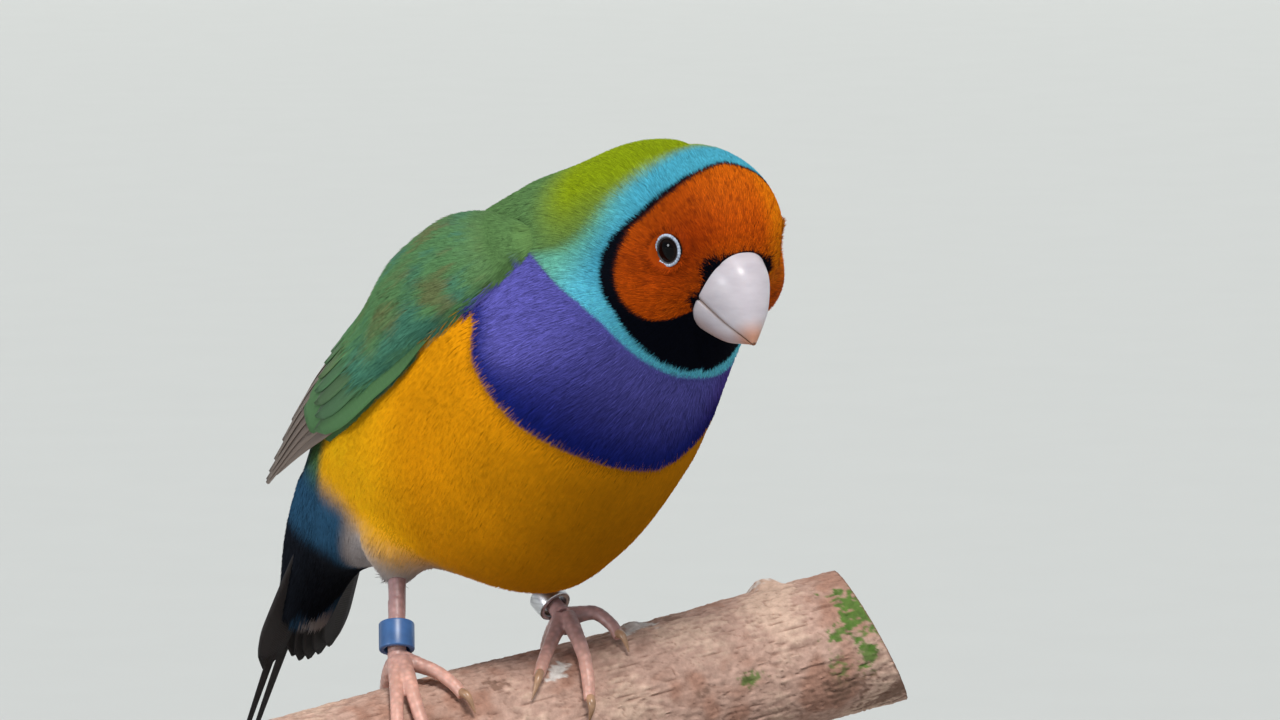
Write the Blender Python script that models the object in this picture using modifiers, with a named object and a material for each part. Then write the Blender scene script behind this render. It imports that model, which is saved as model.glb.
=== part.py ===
"""Gouldian finch, life size, gripping a cut length of branch on a plain display stand.

Lengths are in millimetres while the pieces are modelled, and the finished meshes are in metres.
The bird faces -Y with its right side on -X. Its own frame has its middle at BIRD_MIDDLE.
"""
import bpy
import bmesh
import math
import random
from mathutils import Matrix, Vector, noise

MM = 0.001
GAP = 0.3
SEED = 11

# Stand
BASE_RADIUS = 38.0
BASE_HEIGHT = 6.0
BASE_EDGE = 1.2
ROD_RADIUS = 1.5
ROD_PLACES = (7.0, 35.0)

# Where the middle of the torso stands over the middle of the base
BIRD_MIDDLE = Vector((-4.0, -1.0, 56.0))

# Torso and neck sections from the tail coverts to the throat:
# x, y, z, pitch of the section's axis in degrees, half width, height above and depth below the axis
BODY = (
    (1.0, 33.6, -26.0, 62.0, 3.8, 1.9, 2.3),
    (0.4, 29.4, -18.3, 60.0, 5.4, 4.6, 4.8),
    (0.2, 22.6, -11.6, 55.0, 9.2, 7.2, 13.0),
    (0.0, 12.5, -5.0, 45.0, 14.2, 12.1, 21.6),
    (0.0, 2.5, 0.5, 40.0, 15.6, 16.5, 21.4),
    (0.0, -7.0, 6.0, 39.0, 15.9, 17.6, 17.7),
    (0.0, -14.5, 11.5, 40.0, 13.3, 15.8, 13.6),
    (0.0, -19.5, 16.0, 43.0, 11.5, 13.7, 10.9),
    (0.0, -22.3, 19.2, 46.0, 10.4, 12.1, 9.3),
    (0.0, -24.2, 21.4, 48.0, 8.0, 10.5, 7.2),
    (0.0, -25.6, 23.0, 50.0, 4.2, 6.2, 3.8),
)
BODY_RINGS = 44
BODY_SIDES = 40
BODY_AXIS = Vector((0.0, -0.766, 0.643))
THIGH_RIGHT = (Vector((-5.2, 10.5, -9.5)), Vector((-6.3, 11.6, -15.4)), Vector((-6.8, 11.8, -18.2)),
               Vector((-7.1, 11.6, -19.6)))
THIGH_LEFT = (Vector((5.8, 10.5, -10.5)), Vector((7.2, 8.6, -15.6)), Vector((7.4, 6.6, -18.4)),
              Vector((7.3, 5.4, -19.8)))
THIGH_RADII = (6.6, 5.0, 2.9, 1.3)
FLESH_VOXEL = 0.75
FLESH_FACES = 2400

# Head: turned to the bird's right, bent down and tilted, in degrees
HEAD_YAW = 15.0
HEAD_PITCH = 24.0
HEAD_ROLL = 1.0
HEAD_CENTRE = Vector((0.35, -23.66, 18.8))
HEAD_RADII = (9.0, 9.6, 9.4)
CHEEK_RADIUS = 5.6
CHEEK_PLACE = (4.1, 2.2, -3.4)

# Beak profile in the head's frame, as forward and up
CULMEN = ((7.0, 4.0), (8.65, 2.9), (11.2, 1.7), (13.3, -0.9), (14.2, -3.3), (14.4, -4.7))
MOUTH_LINE = ((5.6, -2.3), (7.0, -2.7), (9.0, -3.1), (11.4, -3.9), (13.2, -4.55), (14.3, -4.95))
JAW_LINE = ((3.6, -7.0), (5.4, -7.2), (8.0, -7.1), (10.6, -6.7), (12.5, -5.85), (13.7, -5.25))
BEAK_HALF_WIDTHS = (4.0, 3.95, 3.5, 2.5, 1.25, 0.3)
NOSTRIL_PLACE = (2.3, 8.6, 1.2)
NOSTRIL_RADIUS = 0.42

# Eyes in the head's frame
EYE_PLACE = (7.0, 5.3, 1.4)
EYE_FACING = (0.90, 0.38, 0.02)
EYE_RADIUS = 2.2
EYE_DEPTH = 1.85
LID_RADIUS = 1.78
LID_THICKNESS = 0.40

# Feet and the branch they hold
PERCH_CENTRE = Vector((-10.14, 8.29, -38.0))
PERCH_AXIS = Vector((0.890, -0.4156, 0.188)).normalized()
PERCH_RADIUS = 7.6
PERCH_LEFT = -13.5
PERCH_RIGHT = 55.2
PERCH_END_FACING = Vector((0.693, -0.544, 0.482)).normalized()
BARK_DEPTH = 0.45
TOE_RADIUS = 0.72
TARSUS_RADIUS = 0.92
CLAW_LENGTH_ANGLE = 16.0

# Tail
TAIL_ROOT = Vector((-0.5, 24.6, -8.3))
TAIL_WAY = Vector((0.111, 0.518, -0.848)).normalized()
TAIL_CUT = 5.5
TAIL_LENGTHS = (47.0, 27.0, 27.5, 27.2, 26.4, 25.2)
TAIL_LAYER = 0.44
TAIL_VANE_WIDTH = 4.4

# Feather vanes
VANE_THICK = 0.55
VANE_TIP_THICK = 0.4

# Leg rings
LEG_RING_BORE = TARSUS_RADIUS + GAP + 0.12
LEG_RING_WALL = 0.55
PLASTIC_RING_HEIGHT = 3.0
METAL_RING_HEIGHT = 2.2


def clear_scene():
    for obj in list(bpy.data.objects):
        bpy.data.objects.remove(obj, do_unlink=True)


def new_collection(name, hidden=False):
    col = bpy.data.collections.new(name)
    bpy.context.scene.collection.children.link(col)
    col.hide_render = hidden
    return col


clear_scene()
PARTS = new_collection("gouldian_finch")
CUTTERS = new_collection("cutters", hidden=True)


def link(obj, col):
    col.objects.link(obj)
    if col is CUTTERS:
        obj.hide_render = True
        obj.display_type = 'WIRE'
    return obj


def from_bmesh(name, bm, col=None):
    mesh = bpy.data.meshes.new(name)
    bm.to_mesh(mesh)
    bm.free()
    return link(bpy.data.objects.new(name, mesh), col or CUTTERS)


def drop(obj):
    mesh = obj.data
    bpy.data.objects.remove(obj, do_unlink=True)
    if mesh.users == 0:
        bpy.data.meshes.remove(mesh)


def duplicate(obj, name):
    copy = bpy.data.objects.new(name, obj.data.copy())
    return link(copy, CUTTERS)


def apply_modifiers(obj):
    graph = bpy.context.evaluated_depsgraph_get()
    graph.update()
    mesh = bpy.data.meshes.new_from_object(obj.evaluated_get(graph))
    old = obj.data
    obj.modifiers.clear()
    obj.data = mesh
    bpy.data.meshes.remove(old)
    return obj


def union(obj, pieces, solver='MANIFOLD'):
    """Fuse the closed pieces to the object in one Boolean."""
    group = bpy.data.collections.new("joined_pieces")
    for piece in pieces:
        group.objects.link(piece)
    mod = obj.modifiers.new("join", 'BOOLEAN')
    mod.operation = 'UNION'
    mod.operand_type = 'COLLECTION'
    mod.collection = group
    mod.solver = solver
    apply_modifiers(obj)
    for piece in pieces:
        drop(piece)
    bpy.data.collections.remove(group)
    return obj


def subtract(obj, cutter, solver='MANIFOLD', keep=False):
    mod = obj.modifiers.new("cut", 'BOOLEAN')
    mod.operation = 'DIFFERENCE'
    mod.object = cutter
    mod.solver = solver
    apply_modifiers(obj)
    if not keep:
        drop(cutter)
    return obj


def keep_largest(obj):
    """Keep only the largest closed surface."""
    bm = bmesh.new()
    bm.from_mesh(obj.data)
    bmesh.ops.triangulate(bm, faces=bm.faces[:])
    seen = set()
    groups = []
    for start in bm.faces:
        if start in seen:
            continue
        seen.add(start)
        group = [start]
        stack = [start]
        while stack:
            face = stack.pop()
            for edge in face.edges:
                for other in edge.link_faces:
                    if other not in seen:
                        seen.add(other)
                        group.append(other)
                        stack.append(other)
        volume = 0.0
        for face in group:
            a, b, c = (v.co for v in face.verts)
            volume += a.dot(b.cross(c)) / 6.0
        groups.append((volume, group))
    best = max(groups, key=lambda item: item[0])[1]
    keep = set(best)
    bmesh.ops.delete(bm, geom=[f for f in bm.faces if f not in keep], context='FACES')
    bmesh.ops.delete(bm, geom=[v for v in bm.verts if not v.link_faces], context='VERTS')
    bm.to_mesh(obj.data)
    bm.free()
    return obj


def grown(obj, amount, name="grown"):
    """A copy of the object grown along its normals, for a cutter that leaves a gap."""
    copy = duplicate(obj, name)
    bm = bmesh.new()
    bm.from_mesh(copy.data)
    bm.normal_update()
    shifts = [v.normal * amount * min(v.calc_shell_factor(), 1.6) for v in bm.verts]
    for vert, shift in zip(bm.verts, shifts):
        vert.co += shift
    bm.to_mesh(copy.data)
    bm.free()
    return copy


def slice_off(obj, point, normal):
    """Cut away what lies past the plane on its normal's side, and close the cut."""
    bm = bmesh.new()
    bm.from_mesh(obj.data)
    geom = bm.verts[:] + bm.edges[:] + bm.faces[:]
    cut = bmesh.ops.bisect_plane(bm, geom=geom, dist=1e-5, plane_co=point, plane_no=normal,
                                 clear_outer=True)
    rim = [e for e in cut["geom_cut"] if isinstance(e, bmesh.types.BMEdge)]
    rim = [e for e in rim if e.is_boundary]
    bmesh.ops.holes_fill(bm, edges=rim, sides=0)
    bmesh.ops.triangulate(bm, faces=[f for f in bm.faces if len(f.verts) > 3])
    bmesh.ops.recalc_face_normals(bm, faces=bm.faces[:])
    bm.to_mesh(obj.data)
    bm.free()
    return obj


def along(rows, q):
    """Smooth interpolation through the rows, with q counting rows."""
    last = len(rows) - 1
    i = max(0, min(last - 1, int(math.floor(q))))
    f = q - i
    p0 = rows[max(i - 1, 0)]
    p1 = rows[i]
    p2 = rows[i + 1]
    p3 = rows[min(i + 2, last)]
    out = []
    for a, b, c, d in zip(p0, p1, p2, p3):
        m1 = (c - a) * 0.5
        m2 = (d - b) * 0.5
        h = (2 * f ** 3 - 3 * f ** 2 + 1) * b + (f ** 3 - 2 * f ** 2 + f) * m1
        out.append(h + (-2 * f ** 3 + 3 * f ** 2) * c + (f ** 3 - f ** 2) * m2)
    return out


def loft(name, rings, col=None):
    """Skin a list of rings with equal counts, and close both ends."""
    bm = bmesh.new()
    loops = [[bm.verts.new(p) for p in ring] for ring in rings]
    count = len(rings[0])
    for lower, upper in zip(loops, loops[1:]):
        for k in range(count):
            n = (k + 1) % count
            bm.faces.new((lower[k], lower[n], upper[n], upper[k]))
    bm.faces.new(loops[0][::-1])
    bm.faces.new(loops[-1])
    bmesh.ops.recalc_face_normals(bm, faces=bm.faces[:])
    bmesh.ops.triangulate(bm, faces=bm.faces[:])
    return from_bmesh(name, bm, col)


def ball(name, centre, radii, turn=None, rings=14, sides=22):
    bm = bmesh.new()
    bmesh.ops.create_uvsphere(bm, u_segments=sides, v_segments=rings, radius=1.0)
    matrix = Matrix.Diagonal(Vector(radii)).to_4x4()
    if turn is not None:
        matrix = turn.to_4x4() @ matrix
    bm.transform(Matrix.Translation(centre) @ matrix)
    return from_bmesh(name, bm)


def across(way):
    """Two unit vectors square to a direction."""
    way = way.normalized()
    side = way.orthogonal().normalized()
    return side, way.cross(side)


def tube(name, points, radii, sides=8, flat=1.0, flat_way=None):
    """A closed tube through the points, flattened across flat_way if given."""
    rings = []
    previous = None
    for i, point in enumerate(points):
        before = points[max(i - 1, 0)]
        after = points[min(i + 1, len(points) - 1)]
        way = (after - before).normalized()
        if flat_way is not None:
            up = flat_way[i] if isinstance(flat_way, list) else flat_way
            up = (up - way * up.dot(way)).normalized()
        elif previous is None:
            up = way.orthogonal().normalized()
        else:
            up = (previous - way * previous.dot(way)).normalized()
        previous = up
        side = way.cross(up)
        ring = []
        for k in range(sides):
            angle = 2 * math.pi * (k + 0.5) / sides
            ring.append(point + side * math.cos(angle) * radii[i]
                        + up * math.sin(angle) * radii[i] * flat)
        rings.append(ring)
    return loft(name, rings)


def lathe(name, profile, sides, place, way):
    """Turn a closed outline of radius and height about an axis."""
    u, v = across(way)
    bm = bmesh.new()
    rings = []
    for k in range(sides):
        angle = 2 * math.pi * k / sides
        out = u * math.cos(angle) + v * math.sin(angle)
        rings.append([bm.verts.new(place + out * r + way * h) for r, h in profile])
    count = len(profile)
    for k in range(sides):
        one = rings[k]
        two = rings[(k + 1) % sides]
        for j in range(count):
            n = (j + 1) % count
            bm.faces.new((one[j], one[n], two[n], two[j]))
    bmesh.ops.recalc_face_normals(bm, faces=bm.faces[:])
    return from_bmesh(name, bm)


def material(name, colour, roughness, metallic=0.0):
    mat = bpy.data.materials.new(name)
    mat.use_nodes = True
    shader = mat.node_tree.nodes["Principled BSDF"]
    shader.inputs["Base Color"].default_value = (*colour, 1.0)
    shader.inputs["Roughness"].default_value = roughness
    shader.inputs["Metallic"].default_value = metallic
    mat.diffuse_color = (*colour, 1.0)
    return mat


def finish(obj, name, pivot, colour, roughness, metallic=0.0, sharp=40.0):
    """Name the node, give it its material and put its origin on the pivot, in metres."""
    if len(obj.data.polygons) == 0:
        raise ValueError(name + " came out empty")
    obj.name = name
    obj.data.name = name
    obj.data.materials.clear()
    obj.data.materials.append(material(name, colour, roughness, metallic))
    for poly in obj.data.polygons:
        poly.material_index = 0
    obj.data.transform(Matrix.Scale(MM, 4) @ Matrix.Translation(-pivot))
    obj.location = (pivot + BIRD_MIDDLE) * MM
    obj.data.shade_smooth()
    obj.data.set_sharp_from_angle(angle=math.radians(sharp))
    for col in list(obj.users_collection):
        col.objects.unlink(obj)
    PARTS.objects.link(obj)
    obj.hide_render = False
    obj.display_type = 'TEXTURED'
    return obj


# The head's own frame: right, forward and up
def head_frame():
    yaw = math.radians(HEAD_YAW)
    pitch = math.radians(HEAD_PITCH)
    roll = math.radians(HEAD_ROLL)
    level = Vector((-math.sin(yaw), -math.cos(yaw), 0.0))
    forward = level * math.cos(pitch) + Vector((0.0, 0.0, -math.sin(pitch)))
    up = level * math.sin(pitch) + Vector((0.0, 0.0, math.cos(pitch)))
    right = forward.cross(up)
    return (right * math.cos(roll) + up * math.sin(roll), forward,
            up * math.cos(roll) - right * math.sin(roll))


HEAD_RIGHT, HEAD_FORWARD, HEAD_UP = head_frame()
HEAD_TURN = Matrix((HEAD_RIGHT, HEAD_FORWARD, HEAD_UP)).transposed()


def in_head(right, forward, up):
    return HEAD_CENTRE + HEAD_RIGHT * right + HEAD_FORWARD * forward + HEAD_UP * up


def body_point(q, angle, lift):
    """A point over the torso: angle in degrees from its top toward its right side."""
    x, y, z, pitch, wide, high, deep = along(BODY, q)
    pitch = math.radians(pitch)
    up = Vector((0.0, math.sin(pitch), math.cos(pitch)))
    a = math.radians(angle)
    tall = high if math.cos(a) > 0 else deep
    out = Vector((-(wide + lift) * math.sin(a), 0.0, 0.0))
    return Vector((x, y, z)) + out + up * (tall + lift) * math.cos(a)


def make_flesh():
    """Torso, neck, head and thighs as one smooth body."""
    rings = []
    for i in range(BODY_RINGS + 1):
        q = i * (len(BODY) - 1) / BODY_RINGS
        rings.append([body_point(q, 360.0 * k / BODY_SIDES, 0.0) for k in range(BODY_SIDES)])
    flesh = loft("flesh", rings)
    pieces = [ball("skull", HEAD_CENTRE, HEAD_RADII, HEAD_TURN, 24, 36)]
    for side in (1, -1):
        x, y, z = CHEEK_PLACE
        pieces.append(ball("cheek", in_head(side * x, y, z), (CHEEK_RADIUS,) * 3))
    for line in (THIGH_RIGHT, THIGH_LEFT):
        pieces.append(tube("thigh", line, THIGH_RADII, 16))
    union(flesh, pieces)
    remesh = flesh.modifiers.new("even", 'REMESH')
    remesh.mode = 'VOXEL'
    remesh.voxel_size = FLESH_VOXEL
    smooth = flesh.modifiers.new("soften", 'SMOOTH')
    smooth.factor = 0.5
    smooth.iterations = 12
    apply_modifiers(flesh)
    count = sum(len(p.vertices) - 2 for p in flesh.data.polygons)
    fewer = flesh.modifiers.new("fewer", 'DECIMATE')
    fewer.ratio = min(1.0, FLESH_FACES / count)
    apply_modifiers(flesh)
    return keep_largest(flesh)


# Cuts between head, neck, torso and tail
HEAD_CUT_AT = in_head(0.0, 4.0, -9.5)
HEAD_CUT_WAY = (HEAD_FORWARD * 0.575 + HEAD_UP * 0.818).normalized()
NECK_CUT_AT = BODY_AXIS * 20.0
TAIL_CUT_AT = TAIL_ROOT + TAIL_WAY * TAIL_CUT


def parted(flesh, name, cuts):
    """The part of the flesh that is left by cuts given as a point, a direction and a side."""
    piece = duplicate(flesh, name)
    for point, way, keep in cuts:
        slice_off(piece, point + way * keep * GAP * 0.5, way * -keep)
    return keep_largest(piece)


def vane(centres, normals, half_widths, thick, tip_thick, crown=0.12):
    """One feather as a thin closed blade, both faces split into like triangles."""
    bm = bmesh.new()
    rows = []
    last = len(centres) - 1
    for i, centre in enumerate(centres):
        way = (centres[min(i + 1, last)] - centres[max(i - 1, 0)]).normalized()
        up = (normals[i] - way * normals[i].dot(way)).normalized()
        side = up.cross(way)
        half = 0.5 * (thick + (tip_thick - thick) * i / last)
        row = []
        for place in (-1, 0, 1):
            edge = centre + side * half_widths[i] * place + up * crown * (1 - abs(place))
            row.append((bm.verts.new(edge + up * half), bm.verts.new(edge - up * half)))
        rows.append(row)
    for one, two in zip(rows, rows[1:]):
        for k in (0, 1):
            for face in (0, 1):
                a = one[k][face]
                b = one[k + 1][face]
                c = two[k + 1][face]
                d = two[k][face]
                bm.faces.new((a, b, c))
                bm.faces.new((a, c, d))
        for k in (0, 2):
            bm.faces.new((one[k][0], one[k][1], two[k][1], two[k][0]))
    for row in (rows[0], rows[-1]):
        for k in (0, 1):
            bm.faces.new((row[k][0], row[k][1], row[k + 1][1], row[k + 1][0]))
    bmesh.ops.recalc_face_normals(bm, faces=bm.faces[:])
    return from_bmesh("vane", bm)


# Edges of the folded wing over the torso, from wrist to tip: place along BODY, angle and lift
WING_LOWER = (
    (5.95, 70.0, 0.9),
    (5.4, 78.0, 1.1),
    (4.7, 81.0, 1.2),
    (3.9, 86.0, 1.3),
    (2.95, 84.0, 1.8),
    (1.60, 46.0, 3.4),
)
WING_UPPER = (
    (5.9, 44.0, 0.9),
    (5.3, 27.0, 0.9),
    (4.5, 15.0, 1.0),
    (3.6, 8.0, 1.2),
    (2.7, 11.0, 2.0),
    (1.65, 36.0, 3.5),
)
WING_CORE_END = 0.84
CORE_THICK = 2.2
CORE_TIP_THICK = 0.9


def wing_point(side, t, v, lift=0.0):
    """A point on the folded wing: t from wrist to tip, v from lower to upper edge."""
    q = t * (len(WING_LOWER) - 1)
    low = along(WING_LOWER, q)
    high = along(WING_UPPER, q)
    place, angle, rise = (a + (b - a) * v for a, b in zip(low, high))
    point = body_point(place, angle, rise + lift)
    mid = along(BODY, place)[0]
    return Vector((mid + (point.x - mid) * side, point.y, point.z))


def wing_normal(side, t, v):
    e = 0.02
    a = wing_point(side, min(t + e, 1.0), v) - wing_point(side, t - e, v)
    b = wing_point(side, t, v + e) - wing_point(side, t, v - e)
    n = a.cross(b).normalized()
    out = wing_point(side, t, v, 1.0) - wing_point(side, t, v)
    return n if n.dot(out) > 0 else -n


def wing_core(side):
    """The wing's body under its feathers, a shell that the torso's cut then beds."""
    rows = 9
    columns = 7
    rings = []
    for i in range(rows):
        t = WING_CORE_END * i / (rows - 1)
        thick = CORE_THICK + (CORE_TIP_THICK - CORE_THICK) * (i / (rows - 1)) ** 1.5
        top = []
        bottom = []
        for j in range(columns):
            v = j / (columns - 1)
            edge = 1.0 - abs(2 * v - 1) ** 4
            top.append(wing_point(side, t, v, -0.25 * (1 - edge)))
            bottom.append(wing_point(side, t, v, -thick * (0.45 + 0.55 * edge)))
        rings.append(top + bottom[::-1])
    return loft("wing_core", rings)


def wing_vane(side, root, tip, half_width, lifts, tilt, rings, thick=VANE_THICK):
    """A vane over the wing from root to tip, both given as t and v."""
    centres = []
    normals = []
    widths = []
    for i in range(rings):
        f = i / (rings - 1)
        t = root[0] + (tip[0] - root[0]) * f
        v = root[1] + (tip[1] - root[1]) * f
        centres.append(wing_point(side, t, v, lifts[0] + (lifts[1] - lifts[0]) * f))
        normals.append(wing_normal(side, t, v))
        widths.append(half_width * (0.62 + 0.38 * math.sin(math.pi * min(f * 1.25, 0.5))
                                    if f < 0.75 else (0.92 if f < 0.99 else 0.34)))
    way = (centres[-1] - centres[0]).normalized()
    turn = Matrix.Rotation(math.radians(tilt * side), 3, way)
    normals = [turn @ n for n in normals]
    return vane(centres, normals, widths, thick, VANE_TIP_THICK)


# Tiers of small and middle coverts: t of root and tip, v from and to, count, half width
COVERT_TIERS = (
    (0.035, 0.19, 0.20, 0.80, 4, 2.3),
    (0.13, 0.31, 0.09, 0.91, 5, 2.8),
    (0.24, 0.45, 0.06, 0.94, 6, 2.8),
)


def make_wing(side, draw):
    core = wing_core(side)
    pieces = []
    for root_t, tip_t, v_low, v_high, count, half in COVERT_TIERS:
        for k in range(count):
            f = k / (count - 1)
            v = v_low + (v_high - v_low) * f
            slant = 0.02 * math.sin(math.pi * f) + draw.uniform(-0.006, 0.006)
            pieces.append(wing_vane(side, (root_t + slant, v), (tip_t + slant, v - 0.02),
                                    half, (-0.35, 0.42), 8.0, 3))
    # Secondaries with the tertials above them, their tips stepping back toward the rump
    for k in range(6):
        f = k / 5
        v = 0.36 + 0.58 * f
        tip = 0.74 - 0.10 * f ** 1.5 + draw.uniform(-0.006, 0.006)
        pieces.append(wing_vane(side, (0.38, v), (tip, 0.30 + 0.62 * f), 2.2,
                                (-0.35, 0.40), 8.0, 3))
    # Primaries in steps, the outermost lowest and the longest ones past the tertials
    ends = (0.955, 1.0, 0.975, 0.93, 0.885, 0.84)
    for k, end in enumerate(ends):
        lower = (0.40, 0.075 + 0.055 * k)
        tip = (end, 0.12 + 0.13 * k)
        rise = -0.55 + 0.22 * k
        pieces.append(wing_vane(side, lower, tip, 1.7, (rise, rise + 0.1), 5.0, 3))
    # Primary coverts at the lower edge
    for k in range(2):
        v = 0.06 + 0.11 * k
        pieces.append(wing_vane(side, (0.33, v), (0.53, v + 0.02), 1.3, (-0.2, 0.42), 8.0, 3))
    union(core, pieces)
    return core


def make_tail(flesh):
    core = parted(flesh, "tail_core", ((TAIL_CUT_AT, TAIL_WAY, 1),))
    up = Vector((0.0, 0.848, 0.518))
    up = (up - TAIL_WAY * up.dot(TAIL_WAY)).normalized()
    right = TAIL_WAY.cross(up).normalized()
    if right.x > 0:
        right = -right
    pieces = []
    for k, length in enumerate(TAIL_LENGTHS):
        for side in (1, -1):
            fan = math.radians(-0.5 + 1.25 * k)
            way = (TAIL_WAY * math.cos(fan) + right * side * math.sin(fan)).normalized()
            start = TAIL_ROOT + TAIL_WAY * (TAIL_CUT + 3.0)
            start += right * side * (0.85 + 0.40 * k) + up * (0.9 - TAIL_LAYER * k)
            if side < 0:
                start -= up * TAIL_LAYER * 0.5
            rings = 4
            centres = []
            normals = []
            widths = []
            reach = length - TAIL_CUT - 3.0
            for i in range(rings):
                f = i / (rings - 1)
                centres.append(start + way * reach * f - up * 0.6 * f * f)
                turn = Matrix.Rotation(math.radians(1.4 * k) * side, 3, TAIL_WAY)
                normals.append(turn @ up)
                if k == 0:
                    widths.append(1.55 - 1.15 * min(1.0, f * 1.25))
                else:
                    full = TAIL_VANE_WIDTH * 0.5
                    widths.append(full * (0.7 + 0.3 * min(1.0, f * 2.5)) if f < 0.99 else 0.8)
            pieces.append(vane(centres, normals, widths, VANE_THICK, VANE_TIP_THICK, 0.1))
    union(core, pieces)
    return keep_largest(core)


def beak_rings(bottom_row, top_row, lower):
    """Rings of one mandible between its two profile lines, over or under the mouth."""
    rings = []
    steps = 9
    for i in range(steps):
        q = i * (len(MOUTH_LINE) - 1) / (steps - 1)
        mouth = along(bottom_row, q)
        edge = along(top_row, q)
        half = along([(w,) for w in BEAK_HALF_WIDTHS], q)[0]
        if lower:
            half *= 0.93
        shift = -GAP * 0.5 if lower else GAP * 0.5
        ring = []
        arc = 9
        for k in range(arc):
            a = math.pi * (k / (arc - 1) - 0.5)
            x = math.copysign(abs(math.sin(a)) ** 0.9, math.sin(a)) * half
            f = math.cos(a) ** 0.85 if abs(math.cos(a)) > 1e-6 else 0.0
            y = mouth[0] + (edge[0] - mouth[0]) * f
            z = mouth[1] + (edge[1] - mouth[1]) * f + shift
            ring.append(in_head(x, y, z))
        ring.append(in_head(0.0, mouth[0], mouth[1] + shift))
        rings.append(ring)
    return rings


def make_beak():
    upper = loft("beak_upper", beak_rings(MOUTH_LINE, CULMEN, False))
    lower = loft("beak_lower", beak_rings(MOUTH_LINE, JAW_LINE, True))
    for side in (1, -1):
        x, y, z = NOSTRIL_PLACE
        pit = ball("nostril", in_head(side * x, y, z), (NOSTRIL_RADIUS,) * 3, None, 6, 8)
        subtract(upper, pit)
    subtract(lower, grown(upper, GAP))
    return keep_largest(upper), keep_largest(lower)


def eye_frame(side):
    x, y, z = EYE_PLACE
    place = in_head(side * x, y, z)
    nx, ny, nz = EYE_FACING
    facing = (HEAD_RIGHT * nx * side + HEAD_FORWARD * ny + HEAD_UP * nz).normalized()
    return place, facing


def make_lids(side):
    """The two lids as one round rim about the eye."""
    place, facing = eye_frame(side)
    outline = []
    for k in range(5):
        a = 2 * math.pi * k / 5
        outline.append((LID_RADIUS + LID_THICKNESS * math.cos(a), LID_THICKNESS * math.sin(a)))
    return lathe("lids", outline, 18, place - facing * 0.15, facing)


def perch_frame():
    up = Vector((0.0, 0.0, 1.0))
    up = (up - PERCH_AXIS * up.dot(PERCH_AXIS)).normalized()
    return up, PERCH_AXIS.cross(up)


PERCH_UP, PERCH_SIDE = perch_frame()


def on_perch(along_it, angle, off):
    """A point off the branch: distance along it, degrees over its front, height off its bark."""
    a = math.radians(angle)
    out = PERCH_UP * math.cos(a) + PERCH_SIDE * math.sin(a)
    return PERCH_CENTRE + PERCH_AXIS * along_it + out * (PERCH_RADIUS + off)


def make_perch():
    rings = []
    steps = 26
    sides = 22
    for i in range(steps + 1):
        a = PERCH_LEFT + (PERCH_RIGHT + 9.0 - PERCH_LEFT) * i / steps
        ring = []
        for k in range(sides):
            angle = 360.0 * k / sides
            turn = math.radians(angle)
            spot = Vector((a * 0.055, math.cos(turn) * 1.3, math.sin(turn) * 1.3))
            ridge = noise.noise(spot * 2.2) * BARK_DEPTH * 2.0
            swell = 0.18 * math.sin(a * 0.16) + 0.22
            knot = 1.5 * math.exp(-((a - 44.0) / 2.2) ** 2 - ((angle - 352.0) / 13.0) ** 2)
            ring.append(on_perch(a, angle, min(ridge, 0.35) + swell + knot))
        rings.append(ring)
    perch = loft("perch", rings)
    end = PERCH_CENTRE + PERCH_AXIS * PERCH_RIGHT
    slice_off(perch, end, PERCH_END_FACING)
    return perch


# Toes as places on the branch: along it, degrees over its front, height off the bark, radius
RIGHT_FOOT = {
    "outer": ((1.2, 2.0, 2.9, 1.05), (0.2, 14.0, 2.1, 0.85), (-1.2, 34.0, 1.35, 0.72),
              (-2.3, 52.0, 1.15, 0.68), (-2.8, 66.0, 1.0, 0.62)),
    "middle": ((1.6, 4.0, 3.0, 1.05), (1.2, 18.0, 2.1, 0.88), (0.6, 38.0, 1.35, 0.75),
               (0.3, 60.0, 1.15, 0.70), (0.1, 82.0, 1.0, 0.62)),
    "inner": ((2.0, 1.0, 2.9, 1.05), (3.2, 8.0, 2.3, 0.85), (4.6, 18.0, 1.7, 0.72),
              (5.5, 31.0, 1.25, 0.68), (5.9, 42.0, 1.0, 0.60)),
    "hind": ((1.6, -2.0, 2.8, 1.05), (1.6, -18.0, 1.9, 0.88), (1.8, -38.0, 1.3, 0.78),
             (2.0, -60.0, 1.1, 0.68)),
}
LEFT_FOOT = {
    "inner": ((20.4, 2.0, 2.9, 1.05), (19.0, 10.0, 2.2, 0.85), (17.2, 22.0, 1.6, 0.72),
              (15.6, 34.0, 1.2, 0.68), (14.6, 43.0, 1.0, 0.60)),
    "middle": ((20.8, 4.0, 3.0, 1.05), (20.6, 16.0, 2.3, 0.88), (20.2, 36.0, 1.4, 0.75),
               (19.5, 55.0, 1.15, 0.70), (18.9, 70.0, 1.0, 0.62)),
    "outer": ((21.3, 1.0, 2.9, 1.05), (22.8, 3.0, 2.9, 0.85), (24.1, 6.0, 2.7, 0.74),
              (25.0, 16.0, 1.7, 0.68), (25.1, 26.0, 1.05, 0.60)),
    "hind": ((20.8, -2.0, 2.8, 1.05), (20.7, -18.0, 1.9, 0.88), (20.6, -38.0, 1.3, 0.78),
             (20.4, -60.0, 1.1, 0.68)),
}
RIGHT_ANKLE = (Vector((-9.7, 9.5, -24.4)), Vector((-7.0, 11.9, -18.9)), Vector((-4.6, 13.6, -14.0)))
LEFT_ANKLE = (Vector((7.2, 2.6, -22.6)), Vector((7.4, 6.8, -19.6)), Vector((7.4, 9.8, -16.8)))


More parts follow.
